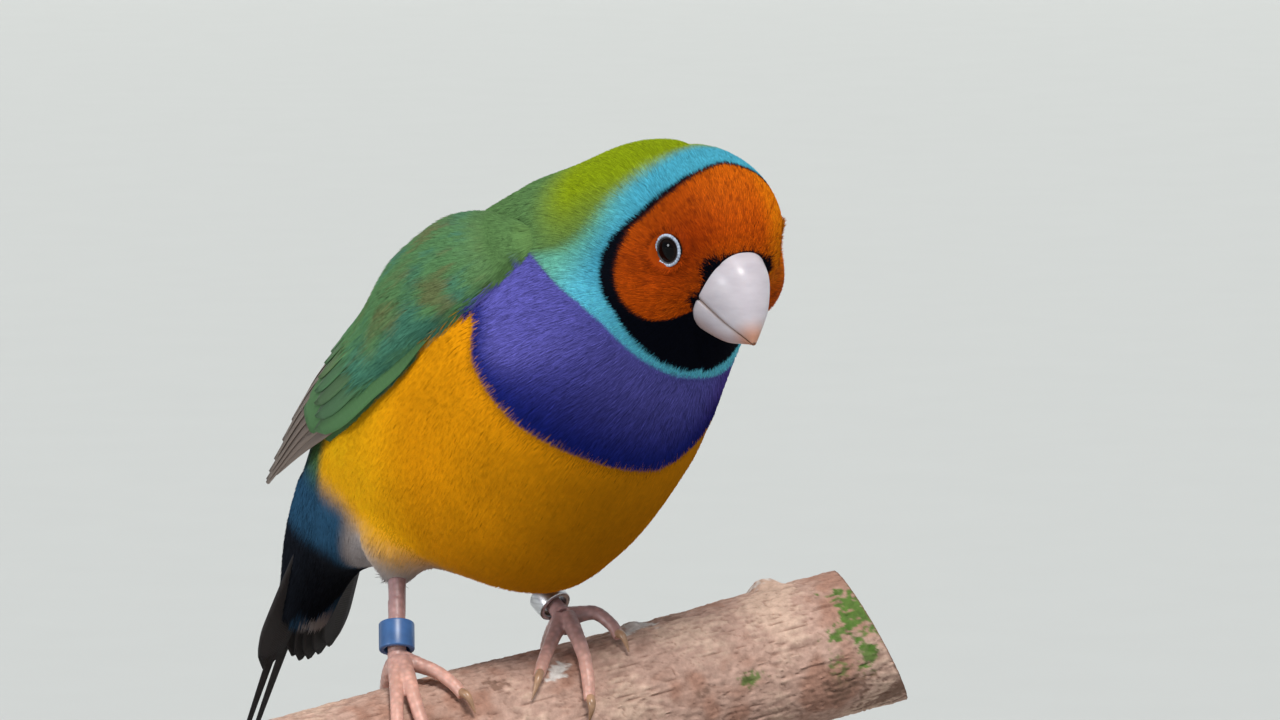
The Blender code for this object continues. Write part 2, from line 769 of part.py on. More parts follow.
def toe(places):
    points = []
    radii = []
    outs = []
    for index, (a, angle, off, radius) in enumerate(places):
        points.append(on_perch(a, angle, off))
        radii.append(radius)
        outs.append(on_perch(a, angle, off + 1.0) - on_perch(a, angle, off))
        if 0 < index < len(places) - 1:
            nxt = places[index + 1]
            points.append(on_perch((a + nxt[0]) / 2, (angle + nxt[1]) / 2, (off + nxt[2]) / 2 - 0.05))
            radii.append((radius + nxt[3]) / 2 * 0.88)
            outs.append(on_perch(a, angle, off + 1.0) - on_perch(a, angle, off))
    # The claw leaves the last joint above the bark and curves down to it
    a, angle, off, radius = places[-1]
    step = CLAW_LENGTH_ANGLE * (1 if angle > 0 else -1)
    slope = (places[-1][0] - places[-2][0]) / (places[-1][1] - places[-2][1])
    claw = []
    claw_radii = (0.50, 0.44, 0.30, 0.10)
    for j, height in enumerate((0.15, 0.45, 0.15, -0.45)):
        turn = step * (j / 3.0 - 0.12)
        claw.append(on_perch(a + slope * turn, angle + turn, off + height))
    return tube("toe", points, radii, 6, 0.95, outs), tube("claw", claw, claw_radii, 5)


def make_leg(foot, ankle):
    base = on_perch(foot["middle"][0][0] - 0.1, 0.0, 3.1)
    shank = [base] + list(ankle)
    points = []
    radii = []
    steps = 9
    for i in range(steps + 1):
        q = i * (len(shank) - 1) / steps
        points.append(Vector(along([tuple(p) for p in shank], q)))
        plate = 0.05 if i % 2 else -0.02
        wide = TARSUS_RADIUS + plate + (0.1 if i == 0 else 0.0) + (0.35 if i > steps - 3 else 0.0)
        radii.append(wide)
    leg = tube("leg", points, radii, 8)
    pieces = []
    for key in ("outer", "middle", "inner", "hind"):
        pieces.extend(toe(foot[key]))
    pieces.append(ball("pad", on_perch(foot["middle"][0][0], 1.0, 2.2), (1.35, 1.35, 1.35), None, 6, 8))
    return union(leg, pieces)


def make_ring(shank, at, height, chamfer):
    q = at
    rows = [tuple(p) for p in shank]
    place = Vector(along(rows, q))
    way = (Vector(along(rows, q + 0.1)) - Vector(along(rows, q - 0.1))).normalized()
    r0 = LEG_RING_BORE
    r1 = LEG_RING_BORE + LEG_RING_WALL
    h = height * 0.5
    c = chamfer
    outline = ((r0, -h + c), (r0 + c, -h), (r1 - c, -h), (r1, -h + c),
               (r1, h - c), (r1 - c, h), (r0 + c, h), (r0, h - c))
    return lathe("ring", outline, 18, place, way), place


def build():
    draw = random.Random(SEED)
    flesh = make_flesh()
    head = parted(flesh, "head", ((HEAD_CUT_AT, HEAD_CUT_WAY, 1),))
    neck = parted(flesh, "neck", ((HEAD_CUT_AT, HEAD_CUT_WAY, -1), (NECK_CUT_AT, BODY_AXIS, 1)))
    torso = parted(flesh, "torso", ((NECK_CUT_AT, BODY_AXIS, -1), (TAIL_CUT_AT, TAIL_WAY, -1)))
    tail = make_tail(flesh)
    drop(flesh)

    # Head, lids, eyes and beak
    upper, lower = make_beak()
    union(head, [make_lids(1), make_lids(-1)])
    eyes = []
    for side in (1, -1):
        place, facing = eye_frame(side)
        centre = place - facing * EYE_DEPTH
        subtract(head, ball("socket", centre, (EYE_RADIUS + GAP,) * 3, None, 9, 16))
        eyes.append((ball("eye", centre, (EYE_RADIUS,) * 3, None, 9, 16), centre))
    subtract(head, grown(upper, GAP))
    subtract(head, grown(lower, GAP))
    keep_largest(head)

    # Wings bed on the torso, neck and tail with the gap
    beds = [grown(torso, GAP), grown(neck, GAP), grown(tail, GAP)]
    wings = []
    for side in (1, -1):
        wing = make_wing(side, draw)
        for bed in beds:
            subtract(wing, bed, keep=True)
        wings.append(keep_largest(wing))

    # Branch, legs and rings
    perch = make_perch()
    bark = grown(perch, GAP)
    legs = []
    for foot, ankle in ((RIGHT_FOOT, RIGHT_ANKLE), (LEFT_FOOT, LEFT_ANKLE)):
        leg = make_leg(foot, ankle)
        subtract(leg, beds[0], keep=True)
        subtract(leg, bark, keep=True)
        legs.append(keep_largest(leg))
    right_base = on_perch(RIGHT_FOOT["middle"][0][0] - 0.1, 0.0, 3.1)
    left_base = on_perch(LEFT_FOOT["middle"][0][0] - 0.1, 0.0, 3.1)
    plastic, plastic_at = make_ring((right_base,) + RIGHT_ANKLE, 0.85, PLASTIC_RING_HEIGHT, 0.15)
    metal, metal_at = make_ring((left_base,) + LEFT_ANKLE, 1.15, METAL_RING_HEIGHT, 0.12)

    # Stand
    floor = -BIRD_MIDDLE.z
    middle = Vector((-BIRD_MIDDLE.x, -BIRD_MIDDLE.y, floor))
    outline = ((0.001, 0.0), (BASE_RADIUS, 0.0), (BASE_RADIUS, BASE_HEIGHT - BASE_EDGE),
               (BASE_RADIUS - BASE_EDGE * 0.3, BASE_HEIGHT - BASE_EDGE * 0.3),
               (BASE_RADIUS - BASE_EDGE, BASE_HEIGHT))
    rings = []
    for radius, height in outline[1:]:
        rings.append([middle + Vector((radius * math.cos(a), radius * math.sin(a), height))
                      for a in (2 * math.pi * k / 48 for k in range(48))])
    base = loft("stand_base", rings)
    rods = []
    for place in ROD_PLACES:
        foot = PERCH_CENTRE + PERCH_AXIS * place
        bottom = Vector((foot.x, foot.y, floor + BASE_HEIGHT + GAP))
        top = Vector((foot.x, foot.y, foot.z))
        ends = [bottom, top]
        rod = tube("rod", ends, (ROD_RADIUS, ROD_RADIUS), 20)
        subtract(rod, bark, keep=True)
        rods.append((keep_largest(rod), bottom))
    drop(bark)
    for bed in beds:
        drop(bed)

    skin_colour = (0.55, 0.27, 0.22)
    finish(head, "head", HEAD_CENTRE, (0.62, 0.16, 0.02), 0.8)
    finish(neck, "neck", NECK_CUT_AT, (0.08, 0.45, 0.55), 0.8)
    finish(torso, "torso", Vector((0.0, 0.0, 0.0)), (0.75, 0.42, 0.02), 0.8)
    finish(upper, "beak_upper", in_head(0.0, 7.5, 0.0), (0.82, 0.72, 0.72), 0.35)
    finish(lower, "beak_lower", in_head(0.0, 6.0, -5.0), (0.80, 0.62, 0.58), 0.35)
    for (eye, centre), name in zip(eyes, ("eye_right", "eye_left")):
        finish(eye, name, centre, (0.01, 0.008, 0.008), 0.08)
    for wing, name, side in zip(wings, ("wing_right", "wing_left"), (1, -1)):
        finish(wing, name, wing_point(side, 0.0, 0.5), (0.16, 0.36, 0.05), 0.7, sharp=30.0)
    finish(tail, "tail", TAIL_ROOT, (0.03, 0.03, 0.035), 0.6, sharp=30.0)
    finish(legs[0], "leg_right", right_base, skin_colour, 0.5)
    finish(legs[1], "leg_left", left_base, skin_colour, 0.5)
    finish(plastic, "ring_right", plastic_at, (0.08, 0.17, 0.38), 0.35)
    finish(metal, "ring_left", metal_at, (0.62, 0.62, 0.64), 0.3, 1.0)
    finish(perch, "perch", PERCH_CENTRE, (0.30, 0.19, 0.13), 0.9)
    finish(base, "stand_base", middle, (0.25, 0.14, 0.07), 0.45)
    for (rod, bottom), name in zip(rods, ("stand_rod_right", "stand_rod_left")):
        finish(rod, name, bottom, (0.55, 0.42, 0.2), 0.35, 1.0)
    bpy.data.collections.remove(CUTTERS)


build()
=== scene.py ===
import math
import bpy
import bmesh
import numpy as np
from bpy.props import FloatProperty, FloatVectorProperty, IntProperty, PointerProperty
from mathutils import Matrix, Vector, noise
from mathutils.bvhtree import BVHTree
from mathutils.kdtree import KDTree


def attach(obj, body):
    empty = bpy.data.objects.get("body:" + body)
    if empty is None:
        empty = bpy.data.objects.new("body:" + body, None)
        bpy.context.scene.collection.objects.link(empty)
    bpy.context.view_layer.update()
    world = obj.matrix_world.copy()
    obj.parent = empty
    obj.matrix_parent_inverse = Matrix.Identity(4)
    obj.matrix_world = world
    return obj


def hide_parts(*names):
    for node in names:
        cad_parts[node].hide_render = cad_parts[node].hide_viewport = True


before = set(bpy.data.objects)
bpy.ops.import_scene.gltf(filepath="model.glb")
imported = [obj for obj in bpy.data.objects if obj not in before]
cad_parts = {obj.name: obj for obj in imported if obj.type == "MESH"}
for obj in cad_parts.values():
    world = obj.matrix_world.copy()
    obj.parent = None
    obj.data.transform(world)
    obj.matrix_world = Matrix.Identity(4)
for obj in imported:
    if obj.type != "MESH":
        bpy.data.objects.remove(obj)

bl_info = {
    "name": "Gouldian Finch",
    "version": (1, 0, 0),
    "blender": (4, 5, 0),
    "location": "3D View > Sidebar > Finch",
    "description": "Dresses a life-size gouldian finch, its branch and its display stand",
    "category": "Add Mesh",
}

# Lengths below are in millimetres in the bird's own frame, which faces -Y with its right on -X
MM = 0.001
MIDDLE = np.array((-4.0, -1.0, 56.0))
SEED = 11

# Body sections: x, y, z, pitch, half width, height above and depth below the axis
BODY = np.array((
    (1.0, 33.6, -26.0, 62.0, 3.8, 1.9, 2.3),
    (0.4, 29.4, -18.3, 60.0, 5.4, 4.6, 4.8),
    (0.2, 22.6, -11.6, 55.0, 9.2, 7.2, 13.0),
    (0.0, 12.5, -5.0, 45.0, 14.2, 12.1, 21.6),
    (0.0, 2.5, 0.5, 40.0, 15.6, 16.5, 21.4),
    (0.0, -7.0, 6.0, 39.0, 15.9, 17.6, 17.7),
    (0.0, -14.5, 11.5, 40.0, 13.3, 16.3, 13.6),
    (0.0, -19.5, 16.0, 43.0, 11.5, 13.9, 10.9),
    (0.0, -22.3, 19.2, 46.0, 10.4, 12.1, 9.3),
    (0.0, -24.2, 21.4, 48.0, 8.6, 10.6, 7.2),
    (0.0, -25.6, 23.0, 50.0, 7.0, 8.7, 3.8),
    (0.0, -27.0, 24.2, 52.0, 5.0, 7.0, 2.6),
))
BODY_AXIS = np.array((0.0, -0.766, 0.643))
BODY_TOP = np.array((0.0, 0.643, 0.766))
THIGHS = (
    ((-5.2, 10.5, -9.5), (-6.3, 11.6, -15.4), (-6.8, 11.8, -18.2), (-7.1, 11.6, -19.6)),
    ((5.8, 10.5, -10.5), (7.2, 8.6, -15.6), (7.4, 6.6, -18.4), (7.3, 5.4, -19.8)),
)
THIGH_RADII = (6.6, 5.0, 2.9, 1.3)

# Head: turned to the bird's right, bent down and tilted, in degrees
HEAD_YAW = 15.0
HEAD_PITCH = 24.0
HEAD_ROLL = 1.0
HEAD_CENTRE = np.array((0.35, -23.66, 18.8))
HEAD_RADII = (9.0, 9.6, 9.4)
CHEEK_RADIUS = 5.6
CHEEK_PLACE = (4.1, 2.2, -3.4)

# Beak profile in the head's frame, as forward and up
CULMEN = ((7.0, 4.0), (8.65, 2.9), (11.2, 1.7), (13.3, -0.9), (14.2, -3.3), (14.4, -4.7))
MOUTH_LINE = ((5.6, -2.3), (7.0, -2.7), (9.0, -3.1), (11.4, -3.9), (13.2, -4.55), (14.3, -4.95))
JAW_LINE = ((3.6, -7.0), (5.4, -7.2), (8.0, -7.1), (10.6, -6.7), (12.5, -5.85), (13.7, -5.25))
BEAK_HALF_WIDTHS = (4.0, 3.95, 3.45, 2.3, 1.0, 0.25)
BEAK_GAP = 0.12
BEAK_ARC = 0.76
BEAK_TIP = (0.0, 14.3, -4.8)
NOSTRIL_PLACE = (2.3, 8.6, 1.2)

# Eyes in the head's frame
EYE_PLACE = (7.0, 5.3, 1.4)
EYE_FACING = (0.90, 0.38, 0.02)
EYE_RADIUS = 2.2
EYE_DEPTH = 1.85
LID_ACROSS = 1.45
LID_TALL = 1.58
LID_BEAD = 0.15
LID_TILT = 6.0
LEFT_EYE_SUNK = 0.85
LID_BEADS = 30
EYE_REACH = 3.0

# The skin round each eye: how far out it gives way in lid radii, how deep, and its rim's height
EYE_HOLLOWS = {1: (1.0, 1.4, 0.12), -1: (1.34, 1.2, 0.0)}

# The branch and the feet on it
PERCH_CENTRE = np.array((-10.14, 8.29, -38.0))
PERCH_AXIS = np.array((0.890, -0.4156, 0.188))
PERCH_AXIS /= np.linalg.norm(PERCH_AXIS)
PERCH_RADIUS = 7.6
PERCH_LEFT = -13.5
PERCH_RIGHT = 55.2
PERCH_END_FACING = np.array((0.693, -0.544, 0.482))
PERCH_END_FACING /= np.linalg.norm(PERCH_END_FACING)
TARSUS_RADIUS = 0.92
RING_PLAY = 0.42
RING_THICK = 0.55
CLAW_TURN = 17.0

BARK_ROWS = 330
END_ROWS = 14
KNOTS = ((44.7, -14.0, 1.9, 1.05), (28.2, -2.0, 1.6, 0.45))

# Spots on the bark: place along it, degrees over its front, half length, half height, colour, share
BARK_SPOTS = (
    (51.4, 57.0, 2.4, 2.8, "moss", 0.95), (48.6, 68.0, 1.3, 0.9, "moss", 0.9),
    (51.0, 92.0, 1.2, 1.8, "moss", 0.9), (37.7, 87.0, 1.2, 0.7, "moss", 0.8),
    (48.2, 97.0, 1.0, 1.3, "moss", 0.7), (52.0, -60.0, 4.0, 3.0, "moss", 0.8),
    (10.0, -120.0, 6.0, 2.2, "moss", 0.7), (28.4, 4.0, 1.9, 1.0, "lichen", 0.95),
    (27.5, 11.0, 1.3, 0.6, "lichen", 0.9), (17.2, 38.0, 1.3, 0.9, "lichen", 0.95),
    (44.7, -17.0, 1.5, 1.4, "lichen", 0.75), (36.0, -70.0, 1.4, 1.0, "lichen", 0.9),
    (2.0, -90.0, 1.6, 0.9, "lichen", 0.9), (10.6, 36.0, 1.2, 0.8, "bark_dark_and_crack_shade", 0.8),
    (32.3, 6.0, 0.9, 0.8, "bark_dark_and_crack_shade", 0.7), (48.0, 116.0, 3.2, 1.6, "bark_dark_and_crack_shade", 0.85),
    (54.0, 140.0, 3.0, 2.0, "bark_dark_and_crack_shade", 0.9), (31.6, 86.0, 1.0, 0.5, "bark_dark_and_crack_shade", 0.7),
)

# Toes as places on the branch: along it, degrees over its front, height off the bark, radius
RIGHT_FOOT = {
    "outer": ((1.2, 2.0, 2.9, 1.05), (0.2, 14.0, 2.1, 0.85), (-1.2, 34.0, 1.35, 0.72),
              (-2.3, 52.0, 1.15, 0.68), (-2.8, 66.0, 1.0, 0.62)),
    "middle": ((1.6, 4.0, 3.0, 1.05), (1.2, 18.0, 2.1, 0.88), (0.6, 38.0, 1.35, 0.75),
               (0.3, 60.0, 1.15, 0.70), (0.1, 82.0, 1.0, 0.62)),
    "inner": ((2.0, 1.0, 2.9, 1.05), (3.2, 8.0, 2.3, 0.85), (4.6, 18.0, 1.7, 0.72),
              (5.5, 31.0, 1.25, 0.68), (5.9, 42.0, 1.0, 0.60)),
    "hind": ((1.6, -2.0, 2.8, 1.05), (1.6, -18.0, 1.9, 0.88), (1.8, -38.0, 1.3, 0.78),
             (2.0, -60.0, 1.1, 0.68)),
}
LEFT_FOOT = {
    "inner": ((20.4, 2.0, 2.9, 1.05), (19.0, 10.0, 2.2, 0.85), (17.2, 22.0, 1.6, 0.72),
              (15.6, 34.0, 1.2, 0.68), (14.6, 43.0, 1.0, 0.60)),
    "middle": ((20.8, 4.0, 3.0, 1.05), (20.6, 16.0, 2.3, 0.88), (20.2, 36.0, 1.4, 0.75),
               (19.5, 55.0, 1.15, 0.70), (18.9, 70.0, 1.0, 0.62)),
    "outer": ((21.3, 1.0, 2.9, 1.05), (22.8, 3.0, 2.9, 0.85), (24.1, 6.0, 2.7, 0.74),
              (25.0, 16.0, 1.7, 0.68), (25.1, 26.0, 1.05, 0.60)),
    "hind": ((20.8, -2.0, 2.8, 1.05), (20.7, -18.0, 1.9, 0.88), (20.6, -38.0, 1.3, 0.78),
             (20.4, -60.0, 1.1, 0.68)),
}
RIGHT_ANKLE = ((-9.7, 9.5, -24.4), (-7.0, 11.9, -18.9), (-4.6, 13.6, -14.0))
LEFT_ANKLE = ((7.2, 2.6, -22.6), (7.4, 6.8, -19.6), (7.4, 9.8, -16.8))

# Tail
TAIL_ROOT = np.array((-0.5, 24.6, -8.3))
TAIL_WAY = np.array((0.111, 0.518, -0.848))
TAIL_WAY /= np.linalg.norm(TAIL_WAY)
TAIL_CUT = 5.5
TAIL_LENGTHS = (47.0, 27.0, 27.5, 27.2, 26.4, 25.2)
TAIL_LAYER = 0.44
TAIL_VANE_WIDTH = 4.4

# Edges of the folded wing over the torso, from wrist to tip: place along BODY, angle and lift
WING_LOWER = (
    (5.95, 70.0, 0.9), (5.4, 78.0, 1.1), (4.7, 81.0, 1.2),
    (3.9, 86.0, 1.3), (2.95, 84.0, 1.8), (1.60, 46.0, 3.4),
)
WING_UPPER = (
    (5.9, 44.0, 0.9), (5.3, 27.0, 0.9), (4.5, 15.0, 1.0),
    (3.6, 8.0, 1.2), (2.7, 11.0, 2.0), (1.65, 36.0, 3.5),
)

# Stand
ROD_PLACES = (7.0, 35.0)
ROD_RADIUS = 1.5
BASE_RADIUS = 38.0
BASE_HEIGHT = 6.0

# Borders of the face as seen from MASK_HEART in the head's frame, by degrees up from the side:
# how far from straight ahead the orange ends, the black ends on the right and on the left, and
# the turquoise ends, all in degrees
MASK_HEART = np.array((0.0, 0.0, -2.0))
MASK_BORDER = np.array((
    (-90.0, 20.0, 54.0, 55.5, 100.0), (-76.0, 20.0, 54.0, 58.7, 100.0),
    (-65.0, 20.0, 54.2, 63.1, 100.0), (-58.0, 22.0, 55.6, 65.1, 100.0),
    (-49.0, 24.0, 57.7, 66.5, 100.0), (-36.0, 27.0, 62.6, 68.8, 100.0),
    (-34.1, 38.2, 63.6, 69.0, 104.0), (-32.7, 46.1, 64.3, 69.4, 106.0),
    (-28.6, 54.8, 66.8, 71.0, 109.0), (-21.6, 63.2, 71.1, 74.0, 112.0),
    (-14.5, 69.5, 78.3, 79.0, 115.0), (-6.2, 74.9, 84.0, 84.0, 107.0),
    (1.7, 77.8, 87.2, 86.0, 104.0), (11.6, 79.8, 88.0, 87.0, 103.0),
    (21.4, 81.8, 87.0, 86.4, 104.0), (28.8, 81.6, 86.4, 86.4, 105.0),
    (40.0, 80.1, 85.3, 85.3, 105.0), (56.0, 78.4, 82.8, 82.8, 106.0),
    (73.9, 80.0, 82.7, 82.7, 106.5), (90.0, 82.3, 84.9, 84.9, 107.0),
))

# Where the black about the beak widens, in the head's frame: place, spread, and how much it widens
LORE_PATCHES = (((3.9, 7.6, 1.3), 1.6, 1.15), ((4.6, 7.2, -2.9), 1.2, 0.85))

# Borders of the violet breast along the body's axis, by degrees round from the back to the
# right: its throat edge and its belly edge
BREAST_BORDER = np.array((
    (-180.0, 21.5, 10.9), (-165.0, 21.2, 12.4), (-150.0, 20.9, 13.6), (-130.0, 21.6, 12.8),
    (-110.0, 22.0, 11.4), (-90.0, 21.2, 10.2), (-78.0, 20.6, 11.2), (-64.0, 19.8, 11.6),
    (-55.0, 18.6, 11.6), (55.0, 18.6, 11.6), (64.0, 19.85, 11.6), (73.0, 20.4, 11.5),
    (78.0, 20.7, 11.3), (90.0, 21.3, 9.12), (102.0, 22.2, 8.6), (117.0, 22.6, 8.53),
    (130.0, 22.3, 9.18), (145.0, 21.9, 10.03), (161.0, 21.6, 10.5), (180.0, 21.5, 10.9),
))

# Where the breast and flank feathers lap over the folded wing: its t and the v they reach
WING_LAP = np.array((
    (-0.17, 1.20), (-0.11, 1.20), (-0.08, 0.30), (-0.05, 0.09), (0.015, 0.05), (0.12, 0.115),
    (0.20, 0.12), (0.26, 0.105), (0.33, 0.10), (0.39, 0.105), (0.43, 0.10), (0.46, 0.075),
    (0.52, 0.05), (0.58, 0.03), (0.63, -0.2), (0.8, -0.2),
))

# The wing's soft top: its start and its length in t, and the same in v
PAD_T = (-0.17, 0.99)
PAD_V = (-0.01, 1.11)
PRIMARY_ENDS = (0.955, 1.0, 0.99, 0.965, 0.935, 0.90, 0.87, 0.84)
SECONDARIES = 10

# Skin and coat
SKIN_VOXEL = 0.42
SKIN_ROUNDS = 16
NECK_ROUNDS = 60
# How much darker the skin and the wing's soft top are painted than the plumage: painted shade where they
# show between the barbs
SKIN_PAINTED_SHADE = 0.65
LEG_VOXEL = 0.13
PIECE_BARBS = 48000
BARB_SEAT = 0.10
BARB_FACES = np.array(((0, 3, 1), (0, 1, 2), (1, 3, 2), (3, 0, 2)))
BAKE_PATCH = np.array(((-1, -1), (1, -1), (0, 0), (0, 1))) * 0.0015
VANE_COLUMNS = 7

# Touches of colour that aren't a piece's own
WING_BROWN = np.array((0.17, 0.165, 0.095))
TAIL_DUSK = np.array((0.075, 0.068, 0.066))
# Tan of the lower mandible, with painted shade below it
LOWER_BEAK_TAN_AND_PAINTED_SHADE = np.array((0.80, 0.66, 0.60))
MOUTH_BROWN = np.array((0.30, 0.17, 0.10))
# Painted shade in the nostrils' openings
NOSTRIL_PAINTED_SHADE = np.array((0.10, 0.06, 0.06))
PUPIL = np.array((0.0008, 0.0008, 0.001))
IRIS = np.array((0.006, 0.003, 0.002))
BARK_SHADE = np.array((0.80, 0.68, 0.62))
BARK_PALE = np.array((0.70, 0.52, 0.40))
GRAIN_DARK = np.array((0.26, 0.17, 0.11))
GRAIN_PALE = np.array((0.48, 0.36, 0.26))

CAMERA_AZIMUTH = -48.0
CAMERA_HEIGHT = 6.0
CAMERA_AWAY = 900.0
CAMERA_LENS = 240.5
CAMERA_AIM = (12.105, 4.21)


def measure(name, what, value):
    return FloatProperty(name=name, description=what, default=value * MM, unit='LENGTH', precision=5)


def tally(name, what, value):
    return IntProperty(name=name, description=what, default=value)


class FinchSizes(bpy.types.PropertyGroup):
    coat_depth: measure("Coat depth", "How far the skin lies inside the solids", 0.32)
    face_depth: measure("Face depth", "The same on the face", 0.16)
    body_barb: measure("Body barb", "Length of a barb on the body", 1.55)
    face_barb: measure("Face barb", "Length of a barb on the face", 0.75)
    barb_width: measure("Barb width", "Width of a barb on the body", 0.13)
    vane_thick: measure("Vane thickness", "Thickness of a wing or tail feather", 0.12)
    body_count: tally("Body barbs", "How many barbs cover the body", 175000)
    face_count: tally("Face barbs", "How many barbs cover the head", 105000)
    wing_count: tally("Wing barbs", "How many barbs cover each shoulder", 30000)


def colour(name, what, value):
    return FloatVectorProperty(name=name, description=what, subtype='COLOR', size=3,
                               min=0.0, max=1.0, default=value)


class FinchColours(bpy.types.PropertyGroup):
    mask: colour("Mask", "Orange of the face", (0.72, 0.145, 0.003))
    mask_low: colour("Lower mask", "Deeper orange of the cheeks", (0.70, 0.11, 0.003))
    # Painted shade at the roots of the face's barbs, and the dark flecks of the mask
    mask_flecks_and_root_shade: colour("Mask roots", "Dark brown between the face's barbs", (0.17, 0.020, 0.002))
    bib: colour("Bib", "Black round the mask", (0.002, 0.003, 0.008))
    band: colour("Band", "Turquoise behind the mask", (0.080, 0.44, 0.60))
    # Turquoise of the band under the throat, lightened as painted light
    band_throat_painted_light: colour("Throat band", "Turquoise below the bib", (0.15, 0.68, 0.90))
    band_green: colour("Neck", "Blue-green of the neck's sides", (0.17, 0.50, 0.31))
    nape: colour("Nape", "Yellow-green of the nape", (0.27, 0.36, 0.006))
    back: colour("Back", "Green of the back", (0.110, 0.225, 0.075))
    violet: colour("Breast", "Violet of the breast", (0.135, 0.125, 0.50))
    violet_deep: colour("Breast edge", "Deep blue at its lower edge", (0.009, 0.018, 0.21))
    belly: colour("Belly", "Golden yellow of the belly", (0.74, 0.295, 0.002))
    # Brighter gold painted on the flank as painted light
    belly_painted_light: colour("Flank", "Brighter gold of the flank", (1.0, 0.50, 0.006))
    # Amber of the lower belly, darkened as painted shade
    belly_amber_and_painted_shade: colour("Lower belly", "Amber below", (0.46, 0.160, 0.002))
    # White under the tail, painted pale grey as painted shade
    vent_with_painted_shade: colour("Vent", "Pale grey under the tail", (0.46, 0.42, 0.42))
    rump: colour("Rump", "Blue above the tail", (0.03, 0.10, 0.19))
    tail: colour("Tail", "Black of the tail", (0.010, 0.012, 0.018))
    wing: colour("Wing", "Green of the coverts", (0.105, 0.240, 0.095))
    wing_blue: colour("Wing gloss", "Blue-green patches", (0.065, 0.205, 0.135))
    wing_olive: colour("Wing shade", "Olive patches", (0.160, 0.170, 0.070))
    wing_front: colour("Shoulder", "Lighter green by the neck", (0.165, 0.265, 0.125))
    secondary: colour("Secondaries", "Dark green of the long feathers", (0.045, 0.10, 0.030))
    flight: colour("Primaries", "Brownish grey of the wingtip", (0.145, 0.110, 0.090))
    beak: colour("Beak", "Pearl of the beak", (0.58, 0.54, 0.58))
    beak_tip: colour("Beak tip", "Orange-red of its tip", (0.55, 0.22, 0.10))
    eyelid: colour("Eyelid", "Pale blue of the lids", (0.42, 0.50, 0.62))
    leg: colour("Legs", "Pink of the legs", (0.74, 0.41, 0.33))
    claw: colour("Claws", "Horn of the claws", (0.46, 0.27, 0.16))
    ring_blue: colour("Plastic ring", "Blue of the plastic ring", (0.040, 0.115, 0.29))
    bark: colour("Bark", "Pinkish tan of the bark", (0.50, 0.325, 0.26))
    # Dark brown of stains and of the bark's rim at the cut; in the cracks partly browner bark, partly
    # painted shade
    bark_dark_and_crack_shade: colour("Bark furrows", "Brown in the cracks", (0.20, 0.11, 0.075))
    moss: colour("Moss", "Green of the moss", (0.075, 0.17, 0.018))
    lichen: colour("Lichen", "Whitish spots on the bark", (0.75, 0.73, 0.70))
    wood: colour("Base wood", "Brown of the base", (0.13, 0.06, 0.028))
    brass: colour("Rods", "Brass of the rods", (0.72, 0.50, 0.22))
    paper: colour("Floor", "Pale floor", (0.56, 0.575, 0.56))


def sizes():
    return bpy.context.scene.finch_sizes


def tint(name):
    return np.array(getattr(bpy.context.scene.finch_colours, name))


# Shapes of the bird
def unit(v):
    v = np.asarray(v, float)
    return v / np.maximum(np.linalg.norm(v, axis=-1, keepdims=True), 1e-9)


def along(rows, q):
    """Smooth interpolation through the rows, with q counting rows."""
    rows = np.asarray(rows, float)
    q = np.asarray(q, float)
    last = len(rows) - 1
    i = np.clip(np.floor(q).astype(int), 0, last - 1)
    f = (q - i)[..., None]
    a, b, c, d = (rows[np.clip(i + k, 0, last)] for k in (-1, 0, 1, 2))
    first = (c - a) * 0.5
    second = (d - b) * 0.5
    return ((2 * f ** 3 - 3 * f ** 2 + 1) * b + (f ** 3 - 2 * f ** 2 + f) * first
            + (3 * f ** 2 - 2 * f ** 3) * c + (f ** 3 - f ** 2) * second)


def smooth(low, high, x):
    t = np.clip((np.asarray(x, float) - low) / (high - low), 0.0, 1.0)
    return t * t * (3 - 2 * t)


def mix(a, b, share):
    share = np.asarray(share, float)[..., None]
    return a * (1 - share) + b * share


def bell(x, middle, spread):
    return np.exp(-((x - middle) / spread) ** 2)


def border(table, at, column):
    """A column of a table read at places in its first column."""
    return np.interp(at, table[:, 0], table[:, column])


def mirrored(place, side):
    """A place in the head's frame, on its right for side 1 and on its left for -1."""
    return np.array((side * place[0], place[1], place[2]))


def head_axes():
    yaw, pitch, roll = (math.radians(a) for a in (HEAD_YAW, HEAD_PITCH, HEAD_ROLL))
    level = np.array((-math.sin(yaw), -math.cos(yaw), 0.0))
    z = np.array((0.0, 0.0, 1.0))
    forward = level * math.cos(pitch) - z * math.sin(pitch)
    up = level * math.sin(pitch) + z * math.cos(pitch)
    right = np.cross(forward, up)
    return np.array((right * math.cos(roll) + up * math.sin(roll), forward,
                     up * math.cos(roll) - right * math.sin(roll)))


HEAD_AXES = head_axes()


def in_head(p):
    return HEAD_CENTRE + np.asarray(p, float) @ HEAD_AXES


def to_head(p):
    return (p - HEAD_CENTRE) @ HEAD_AXES.T


def body_point(q, angle, lift):
    """A point over the torso: angle in degrees from its top toward its right side."""
    row = along(BODY, q)
    pitch = np.radians(row[..., 3])
    a = np.radians(angle)
    tall = np.where(np.cos(a) > 0, row[..., 5], row[..., 6]) + lift
    x = row[..., 0] - (row[..., 4] + lift) * np.sin(a)
    y = row[..., 1] + tall * np.cos(a) * np.sin(pitch)
    z = row[..., 2] + tall * np.cos(a) * np.cos(pitch)
    return np.stack((x, y, z), -1)


